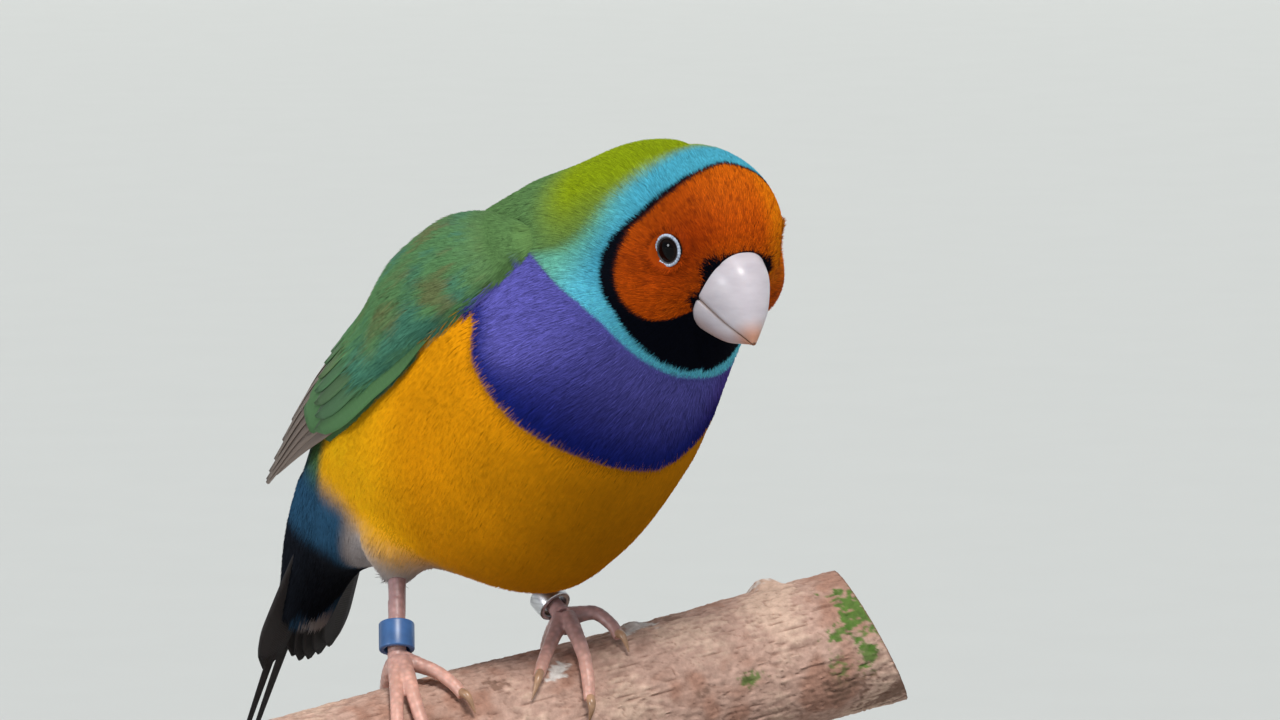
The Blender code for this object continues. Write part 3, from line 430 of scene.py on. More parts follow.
def wing_point(side, t, v, lift=0.0):
    """A point on the folded wing: t from wrist to tip, v from lower to upper edge."""
    q = np.asarray(t, float) * (len(WING_LOWER) - 1)
    ahead = np.minimum(q, 0.0)[..., None]
    low, high = (np.where(ahead < 0, rows[0] + ahead * np.subtract(rows[1], rows[0]), along(rows, q))
                 for rows in (WING_LOWER, WING_UPPER))
    row = low + (high - low) * np.asarray(v, float)[..., None]
    point = body_point(row[..., 0], row[..., 1], row[..., 2] + lift)
    mid = along(BODY, row[..., 0])[..., 0]
    point[..., 0] = mid + (point[..., 0] - mid) * side
    return point


def lap(t):
    """How far up the wing the feathers of breast and flank lap over it."""
    return border(WING_LAP, t, 1)


def pad_point(side, t, v, lift=0.0):
    """A point on the wing's soft top, which sinks into the body at its edges."""
    full = (0.35 + 0.60 * smooth(0.08, 0.32, t)) * smooth(-0.15, 0.24, t) * smooth(0.62, 0.42, t)
    full = full * smooth(0.2, 0.55, v)
    deep = 1.3 + 0.8 * smooth(0.20, 0.05, v) * smooth(0.0, 0.15, t)
    return wing_point(side, t, v, lift - 0.16 + full - deep * (1 - pad_rise(t, v)))


def pad_rise(t, v):
    """How far the wing's soft top has risen out of the body's plumage, from 0 to 1."""
    edge = smooth(0.03, 0.19, v) * smooth(1.10, 0.86, v) * smooth(PAD_T[0], 0.01, t)
    free = smooth(0.42, 0.62, t) * smooth(0.08, 0.15, v) * smooth(1.02, 0.96, v)
    return np.maximum(edge, free)


def wing_axes(side, t, v, surface=wing_point):
    """The way to the wing's tip and the normal of a surface over it."""
    e = 0.02
    a = surface(side, t + e, v) - surface(side, t - e, v)
    b = surface(side, t, v + e) - surface(side, t, v - e)
    n = unit(np.cross(a, b))
    out = wing_point(side, t, v, 1.0) - wing_point(side, t, v)
    return unit(a), n * np.sign((n * out).sum(-1, keepdims=True))


def perch_axes():
    up = np.array((0.0, 0.0, 1.0)) - PERCH_AXIS * PERCH_AXIS[2]
    up /= np.linalg.norm(up)
    return up, np.cross(PERCH_AXIS, up)


PERCH_UP, PERCH_SIDE = perch_axes()


def on_perch(place, angle, off):
    """A point off the branch: distance along it, degrees over its front, height off its bark."""
    a = np.radians(angle)
    out = np.cos(a)[..., None] * PERCH_UP + np.sin(a)[..., None] * PERCH_SIDE
    return (PERCH_CENTRE + np.asarray(place, float)[..., None] * PERCH_AXIS
            + out * (PERCH_RADIUS + np.asarray(off, float))[..., None])


# Markings
def round_axis(p):
    """Distance along the body's axis, and degrees round it from the back to the right."""
    return p @ BODY_AXIS, np.degrees(np.arctan2(-p[:, 0], p @ BODY_TOP))


def front_tints(p, s, around):
    """The violet of the breast with a painted iridescent sheen on its left, deep blue at its lower edge,
    and the gold of the belly with painted light on its right flank and amber with painted shade below.
    """
    side = np.abs(around)
    top = border(BREAST_BORDER, around, 1)
    bottom = border(BREAST_BORDER, around, 2)
    share = (s - bottom) / np.maximum(top - bottom, 0.5)
    # The belly turns amber and darker downwards and towards the bird's left: partly amber, partly painted
    # shade
    belly = mix(tint("belly"), tint("belly_amber_and_painted_shade"), smooth(2.0, 25.0, p @ -BODY_TOP + 0.35 * p[:, 0]))
    # Painted light: the belly is painted a brighter gold over the rear of the bird's right flank
    flank = smooth(2.0, 12.0, p[:, 1]) * smooth(0.0, -9.0, p[:, 0])
    belly = mix(belly, tint("belly_painted_light"), 0.8 * flank)
    high = 0.25 + 0.70 * smooth(92.0, 125.0, side)
    violet = mix(tint("violet_deep"), tint("violet"), smooth(0.0, 1.0, share / high))
    # The violet is painted darker and more magenta over the bird's left side: a painted iridescent sheen
    violet = violet * (1 - smooth(1.0, 9.0, p[:, 0])[:, None] * np.array((0.34, 0.66, 0.42)))
    return mix(belly, violet, smooth(-0.08, 0.08, s - bottom)), top


def markings(p, gap=None):
    """The plumage's colour at points near the skin, and how much of the face each is."""
    s, around = round_axis(p)
    side = np.abs(around)
    tail = (p - TAIL_ROOT) @ TAIL_WAY
    rgb, top = front_tints(p, s, around)
    # The white under the tail is painted a pale grey: painted shade
    rgb = mix(rgb, tint("vent_with_painted_shade"), smooth(-3.5, 2.5, tail) * smooth(60.0, 95.0, side))
    # Green back and nape, blue rump and the first tail coverts
    green = mix(tint("back"), tint("nape"), smooth(19.5, 25.5, s) * smooth(84.0, 40.0, side))
    green = mix(green, tint("back") * 0.75, smooth(6.0, -8.0, s))
    reach = np.interp(s, (-22.0, -12.0, 0.0, 19.0, 21.0), (60.0, 56.0, 58.0, 60.0, 72.0))
    rgb = mix(rgb, green, smooth(4.0, -4.0, side - reach))
    rgb = mix(rgb, tint("rump"), smooth(-5.0, 1.0, tail) * smooth(95.0, 75.0, side))
    rgb = mix(rgb, tint("tail"), smooth(6.0, 9.0, tail) * smooth(80.0, 65.0, side))
    # The face, seen from inside the head
    ray = to_head(p) - MASK_HEART
    far = np.linalg.norm(ray, axis=1)
    ahead = np.degrees(np.arccos(np.clip(ray[:, 1] / far, -1, 1)))
    turn = np.degrees(np.arctan2(ray[:, 2], np.abs(ray[:, 0])))
    orange, right, left, blue = (border(MASK_BORDER, turn, k) for k in (1, 2, 3, 4))
    outer = np.where(ray[:, 0] > 0, right, left)
    arc = np.radians(1.0) * far
    # Below the bib the band takes a lighter turquoise: its own colour, lightened as painted light where it
    # faces down
    band = mix(tint("band"), tint("band_throat_painted_light"), smooth(0.0, -22.0, turn))
    band = mix(band, tint("band_green"), smooth(86.0, 108.0, ahead) * smooth(44.0, 8.0, turn) * 0.85)
    neck = smooth(-0.2, 0.2, s - top)
    rgb = mix(rgb, green, neck * (ahead > 80))
    rgb = mix(rgb, band, neck * smooth(-1.3, 1.3, (blue - ahead) * arc))
    black = smooth(-0.07, 0.07, (outer - ahead) * arc)
    rgb = mix(rgb, tint("bib"), black)
    face = smooth(-0.07, 0.07, (orange - ahead) * arc) * black
    orange = mix(tint("mask"), tint("mask_low"), smooth(5.0, -2.0, ray[:, 2]))
    middle = bell(ray[:, 2], 5.0, 4.5) * bell(ahead, 50.0, 22.0)
    middle *= smooth(-5.0, -1.5, ray[:, 0])
    rear = smooth(2.0, 6.0, ray[:, 0]) * smooth(-2.0, 2.0, ray[:, 2])
    orange = orange * (1 - middle[:, None] * np.array((0.22, 0.48, 0.4)))
    orange = orange * (1 - rear[:, None] * np.array((0.26, 0.36, 0.2)))
    # Painted light: the orange is brightened over the face's left side
    far_cheek_painted_light = smooth(-1.5, -5.0, ray[:, 0]) * smooth(-2.0, 1.0, ray[:, 2])
    orange = orange * (1 + far_cheek_painted_light[:, None] * np.array((0.38, 0.60, 0.0)))
    rgb = mix(rgb, orange, face)
    # Black about the beak and before the eye
    if gap is not None:
        head = ray + MASK_HEART
        head[:, 0] = np.abs(head[:, 0])
        reach = 0.34 + 0.35 * ruffle(p, 2.4, 1.0, 1.0)
        for spot, spread, more in LORE_PATCHES:
            off = np.linalg.norm(head - spot, axis=1) / spread
            reach = reach + more * np.exp(-off ** 2) * (1 + 0.7 * ruffle(p, 3.2, 1.0, 2.0))
        lore = smooth(0.12, -0.12, gap - reach)
        rgb = mix(rgb, tint("bib"), face * lore)
        face = face * (1 - lore)
    return rgb, face


def front_gold(p):
    """Which points are in the silky gold of the belly, from 0 to 1."""
    s, around = round_axis(p)
    bottom = border(BREAST_BORDER, around, 2)
    return smooth(0.2, -0.6, s - bottom) * smooth(56.0, 64.0, np.abs(around))


def border_gap(p):
    """How far points are from the violet's two borders along the body."""
    s, around = round_axis(p)
    edges = [np.abs(s - border(BREAST_BORDER, around, k)) for k in (1, 2)]
    return np.where(np.abs(around) > 58.0, np.minimum(*edges), 9.0)


def beak_gaps(p):
    """How far off the beak each point is, negative inside it."""
    beak = merged([beak_mesh(False), beak_mesh(True)])
    solid = BVHTree.FromBMesh(beak)
    beak.free()
    head = to_head(p)
    gap = np.full(len(p), 9.0)
    for i in np.nonzero((head[:, 1] > 2.5) & (np.abs(head[:, 0]) < 7.0) & (head[:, 2] < 6.5))[0]:
        spot, normal, _, far = solid.find_nearest(p[i])
        inside = far < 1.2 and (Vector(p[i]) - spot).dot(normal) < 0
        gap[i] = -far if inside else far
    return gap


def lie(p, normal):
    """The way the plumage lies over the skin."""
    s, around = round_axis(p)
    breast = unit(np.stack((-0.12 * np.sign(around), np.ones(len(p)), np.full(len(p), -0.45)), 1))
    way = mix(unit(np.array((0.0, 0.60, -0.80))), breast, smooth(5.0, 15.0, s))
    way = mix(way, BODY_AXIS * -1.0, smooth(100.0, 60.0, np.abs(around)))
    way = mix(way, unit(p - in_head((0.0, 9.0, -1.5))), smooth(19.5, 25.0, s))
    way = mix(way, TAIL_WAY, smooth(-8.0, 0.0, (p - TAIL_ROOT) @ TAIL_WAY))
    for side in (1, -1):
        away, height, out = eye_ring(p, side)
        outward = 1.4 * smooth(1.9 if side > 0 else 1.5, 1.0, away) * (np.abs(height) < EYE_REACH)
        way = way + out * outward[:, None]
    return unit(way - normal * (way * normal).sum(-1, keepdims=True))


# Meshes
def drawn(name, bm):
    """The mesh of a bmesh, which is freed."""
    mesh = bpy.data.meshes.new(name)
    bm.to_mesh(mesh)
    bm.free()
    return mesh


def linked(name, data):
    """An object of the data, at the origin and unturned."""
    obj = bpy.data.objects.new(name, data)
    bpy.context.scene.collection.objects.link(obj)
    return obj


def dressed(name, mesh, material):
    """A smooth object of a mesh with its one material."""
    mesh.name = name
    mesh.shade_smooth()
    mesh.materials.append(material)
    return linked(name, mesh)


def settle(name, bm, material):
    """Turn a finished bmesh in millimetres into an object in metres, at the origin."""
    bm.transform(Matrix.Scale(MM, 4) @ Matrix.Translation(Vector(MIDDLE)))
    return dressed(name, drawn(name, bm), material)


def to_metres(mesh, co):
    mesh.vertices.foreach_set("co", ((co + MIDDLE) * MM).ravel())


def move_points(mesh, co):
    mesh.vertices.foreach_set("co", co.ravel())
    mesh.update()


def shaped(across, length, place, wrap=True, caps=True):
    """A grid shaped by place(u, v), with u round and v along, both from 0 to 1."""
    bm = bmesh.new()
    bmesh.ops.create_grid(bm, x_segments=across, y_segments=length, size=0.5)
    uv = np.array([v.co[:2] for v in bm.verts]) + 0.5
    for vert, point in zip(bm.verts, place(uv[:, 0], uv[:, 1])):
        vert.co = point
    if wrap:
        bmesh.ops.remove_doubles(bm, verts=bm.verts[:], dist=1e-4)
    if caps:
        rim = [e for e in bm.edges if e.is_boundary]
        if rim:
            bmesh.ops.holes_fill(bm, edges=rim, sides=0)
    bmesh.ops.recalc_face_normals(bm, faces=bm.faces[:])
    return bm


def tube(points, radii, sides, steps, up=None, relief=None):
    """A closed tube through the points; relief(angle, place) scales its radius."""
    q = np.linspace(0, len(points) - 1, steps + 1)
    line = along(points, q)
    radius = along(np.array(radii, float)[:, None], q)[:, 0]
    way = unit(np.gradient(line, axis=0))
    ups = []
    last = unit(np.cross(way[0], (0.3, 0.9, 0.2))) if up is None else None
    for i in range(steps + 1):
        guide = last if up is None else along(up, q[i])
        flat = guide - way[i] * (guide @ way[i])
        last = flat / np.linalg.norm(flat)
        ups.append(last)
    ups = np.array(ups)
    sideways = np.cross(way, ups)

    def place(u, v):
        i = np.rint(v * steps).astype(int)
        a = 2 * np.pi * u
        r = radius[i] * (1.0 if relief is None else relief(a, q[i]))
        return (line[i] + sideways[i] * (np.cos(a) * r)[:, None]
                + ups[i] * (np.sin(a) * r)[:, None])

    return shaped(sides, steps, place)


def merged(parts):
    """One bmesh of several."""
    whole = bmesh.new()
    for part in parts:
        mesh = drawn("part", part)
        whole.from_mesh(mesh)
        bpy.data.meshes.remove(mesh)
    return whole


def ball(radii, centre, turn=None, segments=32, rings=20):
    bm = bmesh.new()
    bmesh.ops.create_uvsphere(bm, u_segments=segments, v_segments=rings, radius=1.0)
    matrix = Matrix.Diagonal(Vector(radii)).to_4x4()
    if turn is not None:
        matrix = turn.to_4x4() @ matrix
    bm.transform(Matrix.Translation(Vector(centre)) @ matrix)
    return bm


def remeshed(bm, voxel, rounds):
    """One even closed surface round all the shells, as a mesh in millimetres."""
    mesh = drawn("shells", bm)
    obj = linked("shells", mesh)
    even = obj.modifiers.new("even", 'REMESH')
    even.mode = 'VOXEL'
    even.voxel_size = voxel
    soft = obj.modifiers.new("soften", 'SMOOTH')
    soft.factor = 0.5
    soft.iterations = rounds
    graph = bpy.context.evaluated_depsgraph_get()
    graph.update()
    done = bpy.data.meshes.new_from_object(obj.evaluated_get(graph))
    bpy.data.objects.remove(obj)
    bpy.data.meshes.remove(mesh)
    return done


def vertex_arrays(mesh):
    """The mesh's points and their normals."""
    found = np.zeros((2, len(mesh.vertices) * 3))
    for row, key in zip(found, ("co", "normal")):
        mesh.vertices.foreach_get(key, row)
    return found.reshape(2, -1, 3)


def points_of(obj):
    """An object's points in millimetres of the bird's frame."""
    return vertex_arrays(obj.data)[0] / MM - MIDDLE


def triangle_arrays(mesh):
    mesh.calc_loop_triangles()
    tris = np.zeros(len(mesh.loop_triangles) * 3, int)
    mesh.loop_triangles.foreach_get("vertices", tris)
    return tris.reshape(-1, 3)


def paint(mesh, rgb):
    """Store a colour at each point for the material to read."""
    layer = mesh.color_attributes.new("plumage", 'FLOAT_COLOR', 'POINT')
    full = np.ones((len(rgb), 4))
    full[:, :3] = np.clip(rgb, 0.0, 1.0)
    layer.data.foreach_set("color", full.ravel())


def joined(name, verts, tris, material, rgb, uv, vane=None, normals=None):
    """One piece of many small closed blades, from arrays in millimetres."""
    mesh = bpy.data.meshes.new(name)
    mesh.vertices.add(len(verts))
    to_metres(mesh, verts)
    mesh.loops.add(tris.size)
    mesh.loops.foreach_set("vertex_index", tris.ravel().astype(np.int32))
    mesh.polygons.add(len(tris))
    mesh.polygons.foreach_set("loop_start", np.arange(0, tris.size, 3, dtype=np.int32))
    mesh.polygons.foreach_set("use_smooth", np.ones(len(tris), bool))
    mesh.update(calc_edges=True)
    layer = mesh.uv_layers.new(name="OFBake")
    layer.data.foreach_set("uv", uv[tris.ravel()].ravel())
    paint(mesh, rgb)
    if vane is not None:
        layer = mesh.attributes.new("vane", 'FLOAT_VECTOR', 'POINT')
        layer.data.foreach_set("vector", vane.ravel())
    if normals is not None:
        mesh.normals_split_custom_set_from_vertices(normals)
    mesh.materials.append(material)
    return linked(name, mesh)


def place_piece(obj, slot, *nodes):
    """Let a piece ride on the body and stand for its nodes. Its slot is not used."""
    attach(obj, "root")
    if nodes:
        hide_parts(*nodes)
    return obj


# Materials
class Finish:
    """A Principled material whose nodes are added by name."""

    def __init__(self, name, roughness, metallic=0.0):
        self.mat = bpy.data.materials.new(name)
        self.mat.use_nodes = True
        self.tree = self.mat.node_tree
        self.shader = self.tree.nodes["Principled BSDF"]
        self.set(Roughness=roughness, Metallic=metallic, Base_Color=(0.5, 0.5, 0.5, 1.0))

    def set(self, **values):
        for key, value in values.items():
            self.shader.inputs[key.replace("_", " ")].default_value = value

    def node(self, kind, **values):
        """A node with its settings; those of its inputs start with in_."""
        made = self.tree.nodes.new(kind)
        for key, value in values.items():
            if key.startswith("in_"):
                made.inputs[key[3:]].default_value = value
            else:
                setattr(made, key, value)
        return made

    def link(self, out, into):
        self.tree.links.new(out, into)

    def object_space(self):
        return self.node("ShaderNodeTexCoord").outputs["Object"]

    def stretched(self, scale):
        mapping = self.node("ShaderNodeMapping", in_Scale=scale)
        self.link(self.object_space(), mapping.inputs["Vector"])
        return mapping.outputs["Vector"]

    def noise(self, scale, detail=4.0, rough=0.55, warp=0.0, stretch=None):
        """A noise over the piece, whose own space may be stretched first."""
        vector = self.object_space() if stretch is None else self.stretched(stretch)
        made = self.node("ShaderNodeTexNoise", in_Scale=scale, in_Detail=detail, in_Roughness=rough,
                         in_Distortion=warp)
        self.link(vector, made.inputs["Vector"])
        return made.outputs["Fac"]

    def ramp(self, factor, *stops):
        """A colour by the factor, from stops of place and colour."""
        made = self.node("ShaderNodeValToRGB")
        points = made.color_ramp.elements
        while len(points) < len(stops):
            points.new(0.5)
        for point, (where, value) in zip(points, stops):
            point.position = where
            point.color = (*value, 1.0)
        self.link(factor, made.inputs["Fac"])
        return made.outputs["Color"]

    def math(self, operation, *values):
        made = self.node("ShaderNodeMath", operation=operation)
        for socket, value in zip(made.inputs, values):
            if isinstance(value, float):
                socket.default_value = value
            else:
                self.link(value, socket)
        return made.outputs["Value"]

    def blend(self, factor, a, b, mode='MIX'):
        made = self.node("ShaderNodeMix", data_type='RGBA', blend_type=mode, in_Factor=factor)
        self.link(a, made.inputs["A"])
        self.link(b, made.inputs["B"])
        return made.outputs["Result"]

    def bump(self, height, strength, distance):
        made = self.node("ShaderNodeBump", in_Strength=strength, in_Distance=distance)
        self.link(height, made.inputs["Height"])
        self.link(made.outputs["Normal"], self.shader.inputs["Normal"])

    def colour_from(self, out):
        self.link(out, self.shader.inputs["Base Color"])

    def painted(self):
        return self.node("ShaderNodeAttribute", attribute_name="plumage").outputs["Color"]

    def shaded(self, shade):
        """Take the colours stored at the piece's points, times a shade."""
        self.colour_from(self.blend(1.0, self.painted(), shade, 'MULTIPLY'))

    def mottled(self, factor, *stops):
        self.colour_from(self.ramp(factor, *stops))

    def shade_above(self, low, high, shade):
        """Darken the colour between two heights in metres, as in the shade under the belly."""
        link = self.shader.inputs["Base Color"].links[0]
        split = self.node("ShaderNodeSeparateXYZ")
        self.link(self.object_space(), split.inputs["Vector"])
        share = self.ramp(split.outputs["Z"], (low, (1.0, 1.0, 1.0)), (high, shade))
        self.colour_from(self.blend(1.0, link.from_socket, share, 'MULTIPLY'))

    def flesh(self, weight, radius):
        self.set(Subsurface_Weight=weight, Subsurface_Radius=radius, Subsurface_Scale=1.0)


def plumage_material(name, roughness=0.7):
    made = Finish(name, roughness)
    made.shaded(made.ramp(made.noise(1600.0, 3.0), (0.3, (0.93,) * 3), (0.7, (1.06,) * 3)))
    made.set(Specular_IOR_Level=0.05)
    return made.mat


def vane_material(name):
    """Flight and tail feathers: barbs slanting off the shaft, from the piece's own attribute."""
    made = Finish(name, 0.5)
    attribute = made.node("ShaderNodeAttribute", attribute_name="vane")
    split = made.node("ShaderNodeSeparateXYZ")
    made.link(attribute.outputs["Vector"], split.inputs["Vector"])
    out = made.math('ABSOLUTE', split.outputs["X"])
    slant = made.math('SUBTRACT', split.outputs["Y"], made.math('MULTIPLY', out, 1.1))
    wobble = made.math('MULTIPLY', made.noise(700.0, 2.0), 5.0)
    lines = made.math('SINE', made.math('ADD', made.math('MULTIPLY', slant, 26.0), wobble))
    made.shaded(made.math('MULTIPLY_ADD', lines, 0.10, 0.94))
    made.bump(lines, 0.35, 0.00006)
    made.set(Specular_IOR_Level=0.10)
    return made.mat


# Skin
def make_skin():
    """One closed skin in millimetres, sunk by the coat's depth, with a hollow round each eye."""
    shells = [shaped(64, 120, lambda u, v: body_point(v * (len(BODY) - 1), u * 360.0, 0.0))]
    turn = Matrix(HEAD_AXES.tolist()).transposed()
    shells.append(ball(HEAD_RADII, HEAD_CENTRE, turn, 48, 32))
    for side in (1, -1):
        shells.append(ball((CHEEK_RADIUS,) * 3, in_head(mirrored(CHEEK_PLACE, side))))
    for line in THIGHS:
        shells.append(tube(line, THIGH_RADII, 24, 24))
    mesh = remeshed(merged(shells), SKIN_VOXEL, SKIN_ROUNDS)
    ease_neck(mesh)
    co, normal = vertex_arrays(mesh)
    face = smooth(-2.0, 3.0, to_head(co)[:, 1]) * smooth(20.0, 24.0, co @ BODY_AXIS)
    body, near = sizes().coat_depth / MM, sizes().face_depth / MM
    sunk = co - normal * (body + (near - body) * face)[:, None]
    for side, (wide, deep, rim) in EYE_HOLLOWS.items():
        away, height, _ = eye_ring(sunk, side)
        close = smooth(wide, wide - 0.28, away) * (np.abs(height) < EYE_REACH)
        raised = bell(away, 1.22, 0.25) * (np.abs(height) < 2.5) * rim
        sunk += eye_frame(side)[1] * (raised - close * deep)[:, None]
    move_points(mesh, sunk)
    return mesh


def ease_neck(mesh):
    """Smooth the fold between nape and crown, and leave the face as it is."""
    co, _ = vertex_arrays(mesh)
    s, around = round_axis(co)
    share = (smooth(18.5, 21.5, s) * smooth(34.0, 30.0, s) * smooth(125.0, 95.0, np.abs(around))
             * smooth(2.0, -2.5, to_head(co)[:, 1]))[:, None]
    ends = np.zeros(len(mesh.edges) * 2, int)
    mesh.edges.foreach_get("vertices", ends)
    a, b = ends.reshape(-1, 2).T
    near = np.maximum(np.bincount(ends, minlength=len(co)), 1)[:, None]
    for _ in range(NECK_ROUNDS):
        total = np.stack([np.bincount(a, co[b, k], len(co)) + np.bincount(b, co[a, k], len(co))
                          for k in range(3)], 1)
        co = co + (total / near - co) * 0.6 * share
    move_points(mesh, co)


def eye_frame(side):
    """An eye's place at its lids' plane, and the way it faces."""
    facing = mirrored(EYE_FACING, side) @ HEAD_AXES
    facing /= np.linalg.norm(facing)
    return in_head(mirrored(EYE_PLACE, side)) - facing * (LEFT_EYE_SUNK if side < 0 else 0.0), facing


def lid_axes(side):
    """The lids' long axis, which leans back at its top, and the short one."""
    _, facing = eye_frame(side)
    ahead = unit(np.cross(HEAD_AXES[2], facing)) * side
    up = np.cross(facing, ahead) * side
    lean = math.radians(LID_TILT)
    return ahead * math.cos(lean) + up * math.sin(lean), up * math.cos(lean) - ahead * math.sin(lean)


def eye_ring(p, side):
    """How far from an eye's middle points are, in lid radii, their height and the way out."""
    place, facing = eye_frame(side)
    across, up = lid_axes(side)
    off = p - place
    height = off @ facing
    x, y = off @ across, off @ up
    away = np.hypot(x / LID_ACROSS, y / LID_TALL)
    return away, height, unit(x[:, None] * across + y[:, None] * up)


class FINCH_OT_skin(bpy.types.Operator):
    """Make one skin under the whole coat, with the plumage's markings"""
    bl_idname = "finch.skin"
    bl_label = "Skin"

    def execute(self, context):
        mesh = make_skin()
        co, _ = vertex_arrays(mesh)
        rgb, _ = markings(co, beak_gaps(co))
        # The skin is painted darker than the markings, as painted shade where it shows between the barbs
        paint(mesh, rgb * SKIN_PAINTED_SHADE)
        to_metres(mesh, co)
        skin = dressed("skin", mesh, plumage_material("skin", 0.8))
        place_piece(skin, "feathers_body", "head", "neck", "torso")
        return {'FINISHED'}


# Coat
def skin_samples(count, draw, weigh):
    """Random points on the skin with their normals, in millimetres."""
    mesh = bpy.data.objects["skin"].data
    co, normal = vertex_arrays(mesh)
    co = co / MM - MIDDLE
    tris = triangle_arrays(mesh)
    a, b, c = (co[tris[:, k]] for k in range(3))
    area = np.linalg.norm(np.cross(b - a, c - a), axis=1) * weigh((a + b + c) / 3)
    total = np.cumsum(area)
    pick = np.searchsorted(total, (np.arange(count) + draw.random(count)) / count * total[-1])
    pick = np.clip(pick, 0, len(tris) - 1)
    u = draw.random(count)
    v = draw.random(count)
    flip = u + v > 1
    u[flip] = 1 - u[flip]
    v[flip] = 1 - v[flip]
    shares = (1 - u - v, u, v)
    p, n = (sum(values[tris[pick, k]] * shares[k][:, None] for k in range(3)) for values in (co, normal))
    return p, unit(n)


def covered(p):
    """Which points lie under a wing, well inside its edges."""
    tree = KDTree(2 * 61 * 25)
    spots = []
    for side in (1, -1):
        t, v = (a.ravel() for a in np.meshgrid(np.linspace(0, 0.9, 61), np.linspace(0, 1, 25)))
        for point, place in zip(wing_point(side, t, v, -0.8), zip(t, v)):
            tree.insert(point, len(spots))
            spots.append(place)
    tree.balance()
    hidden = np.zeros(len(p), bool)
    for i in np.nonzero((p @ BODY_AXIS < 21.0) & (p @ BODY_TOP > -12.0))[0]:
        _, index, gap = tree.find(p[i])
        t, v = spots[index]
        hidden[i] = gap < 3.4 and 0.13 < v < 0.9 and pad_rise(t, v) > 0.9
    return hidden


def barbs(p, n, way, length, width, rise, rgb_root, rgb_tip):
    """Closed tapering blades with a ridge: corners, triangles, colours, and normals near the skin's."""
    side = np.cross(way, n)
    length, width, rise = (a[:, None] for a in (length, width, rise))
    root = p - n * BARB_SEAT
    corners = np.stack((
        root - side * width * 0.5, root + side * width * 0.5,
        p + way * length * 0.3 + n * (rise * 0.35 + width * 0.3), p + way * length + n * rise), 1)
    tris = (np.arange(len(p)) * 4)[:, None, None] + BARB_FACES
    rgb = np.stack((rgb_root, rgb_root, (rgb_root * 0.35 + rgb_tip * 0.65), rgb_tip), 1)
    shade = unit(np.stack((n - side * 0.5, n + side * 0.5, n, n + way * 0.12), 1))
    return corners, tris.reshape(-1, 3), rgb, shade


def bake_patches(p):
    """Small patches on an unwrap of the body: round its axis and along it."""
    s, around = round_axis(p)
    u = (around + 180.0) / 360.0 * 0.98 + 0.01
    v = np.clip((s + 34.0) / 82.0, 0.0, 1.0) * 0.98 + 0.01
    return np.stack((u, v), 1)[:, None, :] + BAKE_PATCH


def coat_pieces(name, slot, material, made, uv, order):
    """Join barbs, in order, into pieces of a size that the mesh tools keep whole."""
    corners, tris, rgb, shade = made
    count = math.ceil(len(corners) / PIECE_BARBS)
    for k in range(count):
        chosen = order[k * len(order) // count:(k + 1) * len(order) // count]
        verts, colours, places, normals = (a[chosen].reshape(-1, a.shape[-1])
                                           for a in (corners, rgb, uv, shade))
        obj = joined("%s_%d" % (name, k + 1), verts, tris[:len(chosen) * 4], material, colours, places,
                     None, normals)
        place_piece(obj, slot)


def ruffle(p, scale, amount, seed):
    """A slow swing of the lie over the skin, in radians."""
    return amount * np.array([noise.noise(Vector(q * scale) + Vector((seed, 0, 0))) for q in p])


def swing(way, normal, angle):
    c = np.cos(angle)[:, None]
    s = np.sin(angle)[:, None]
    return way * c + np.cross(normal, way) * s


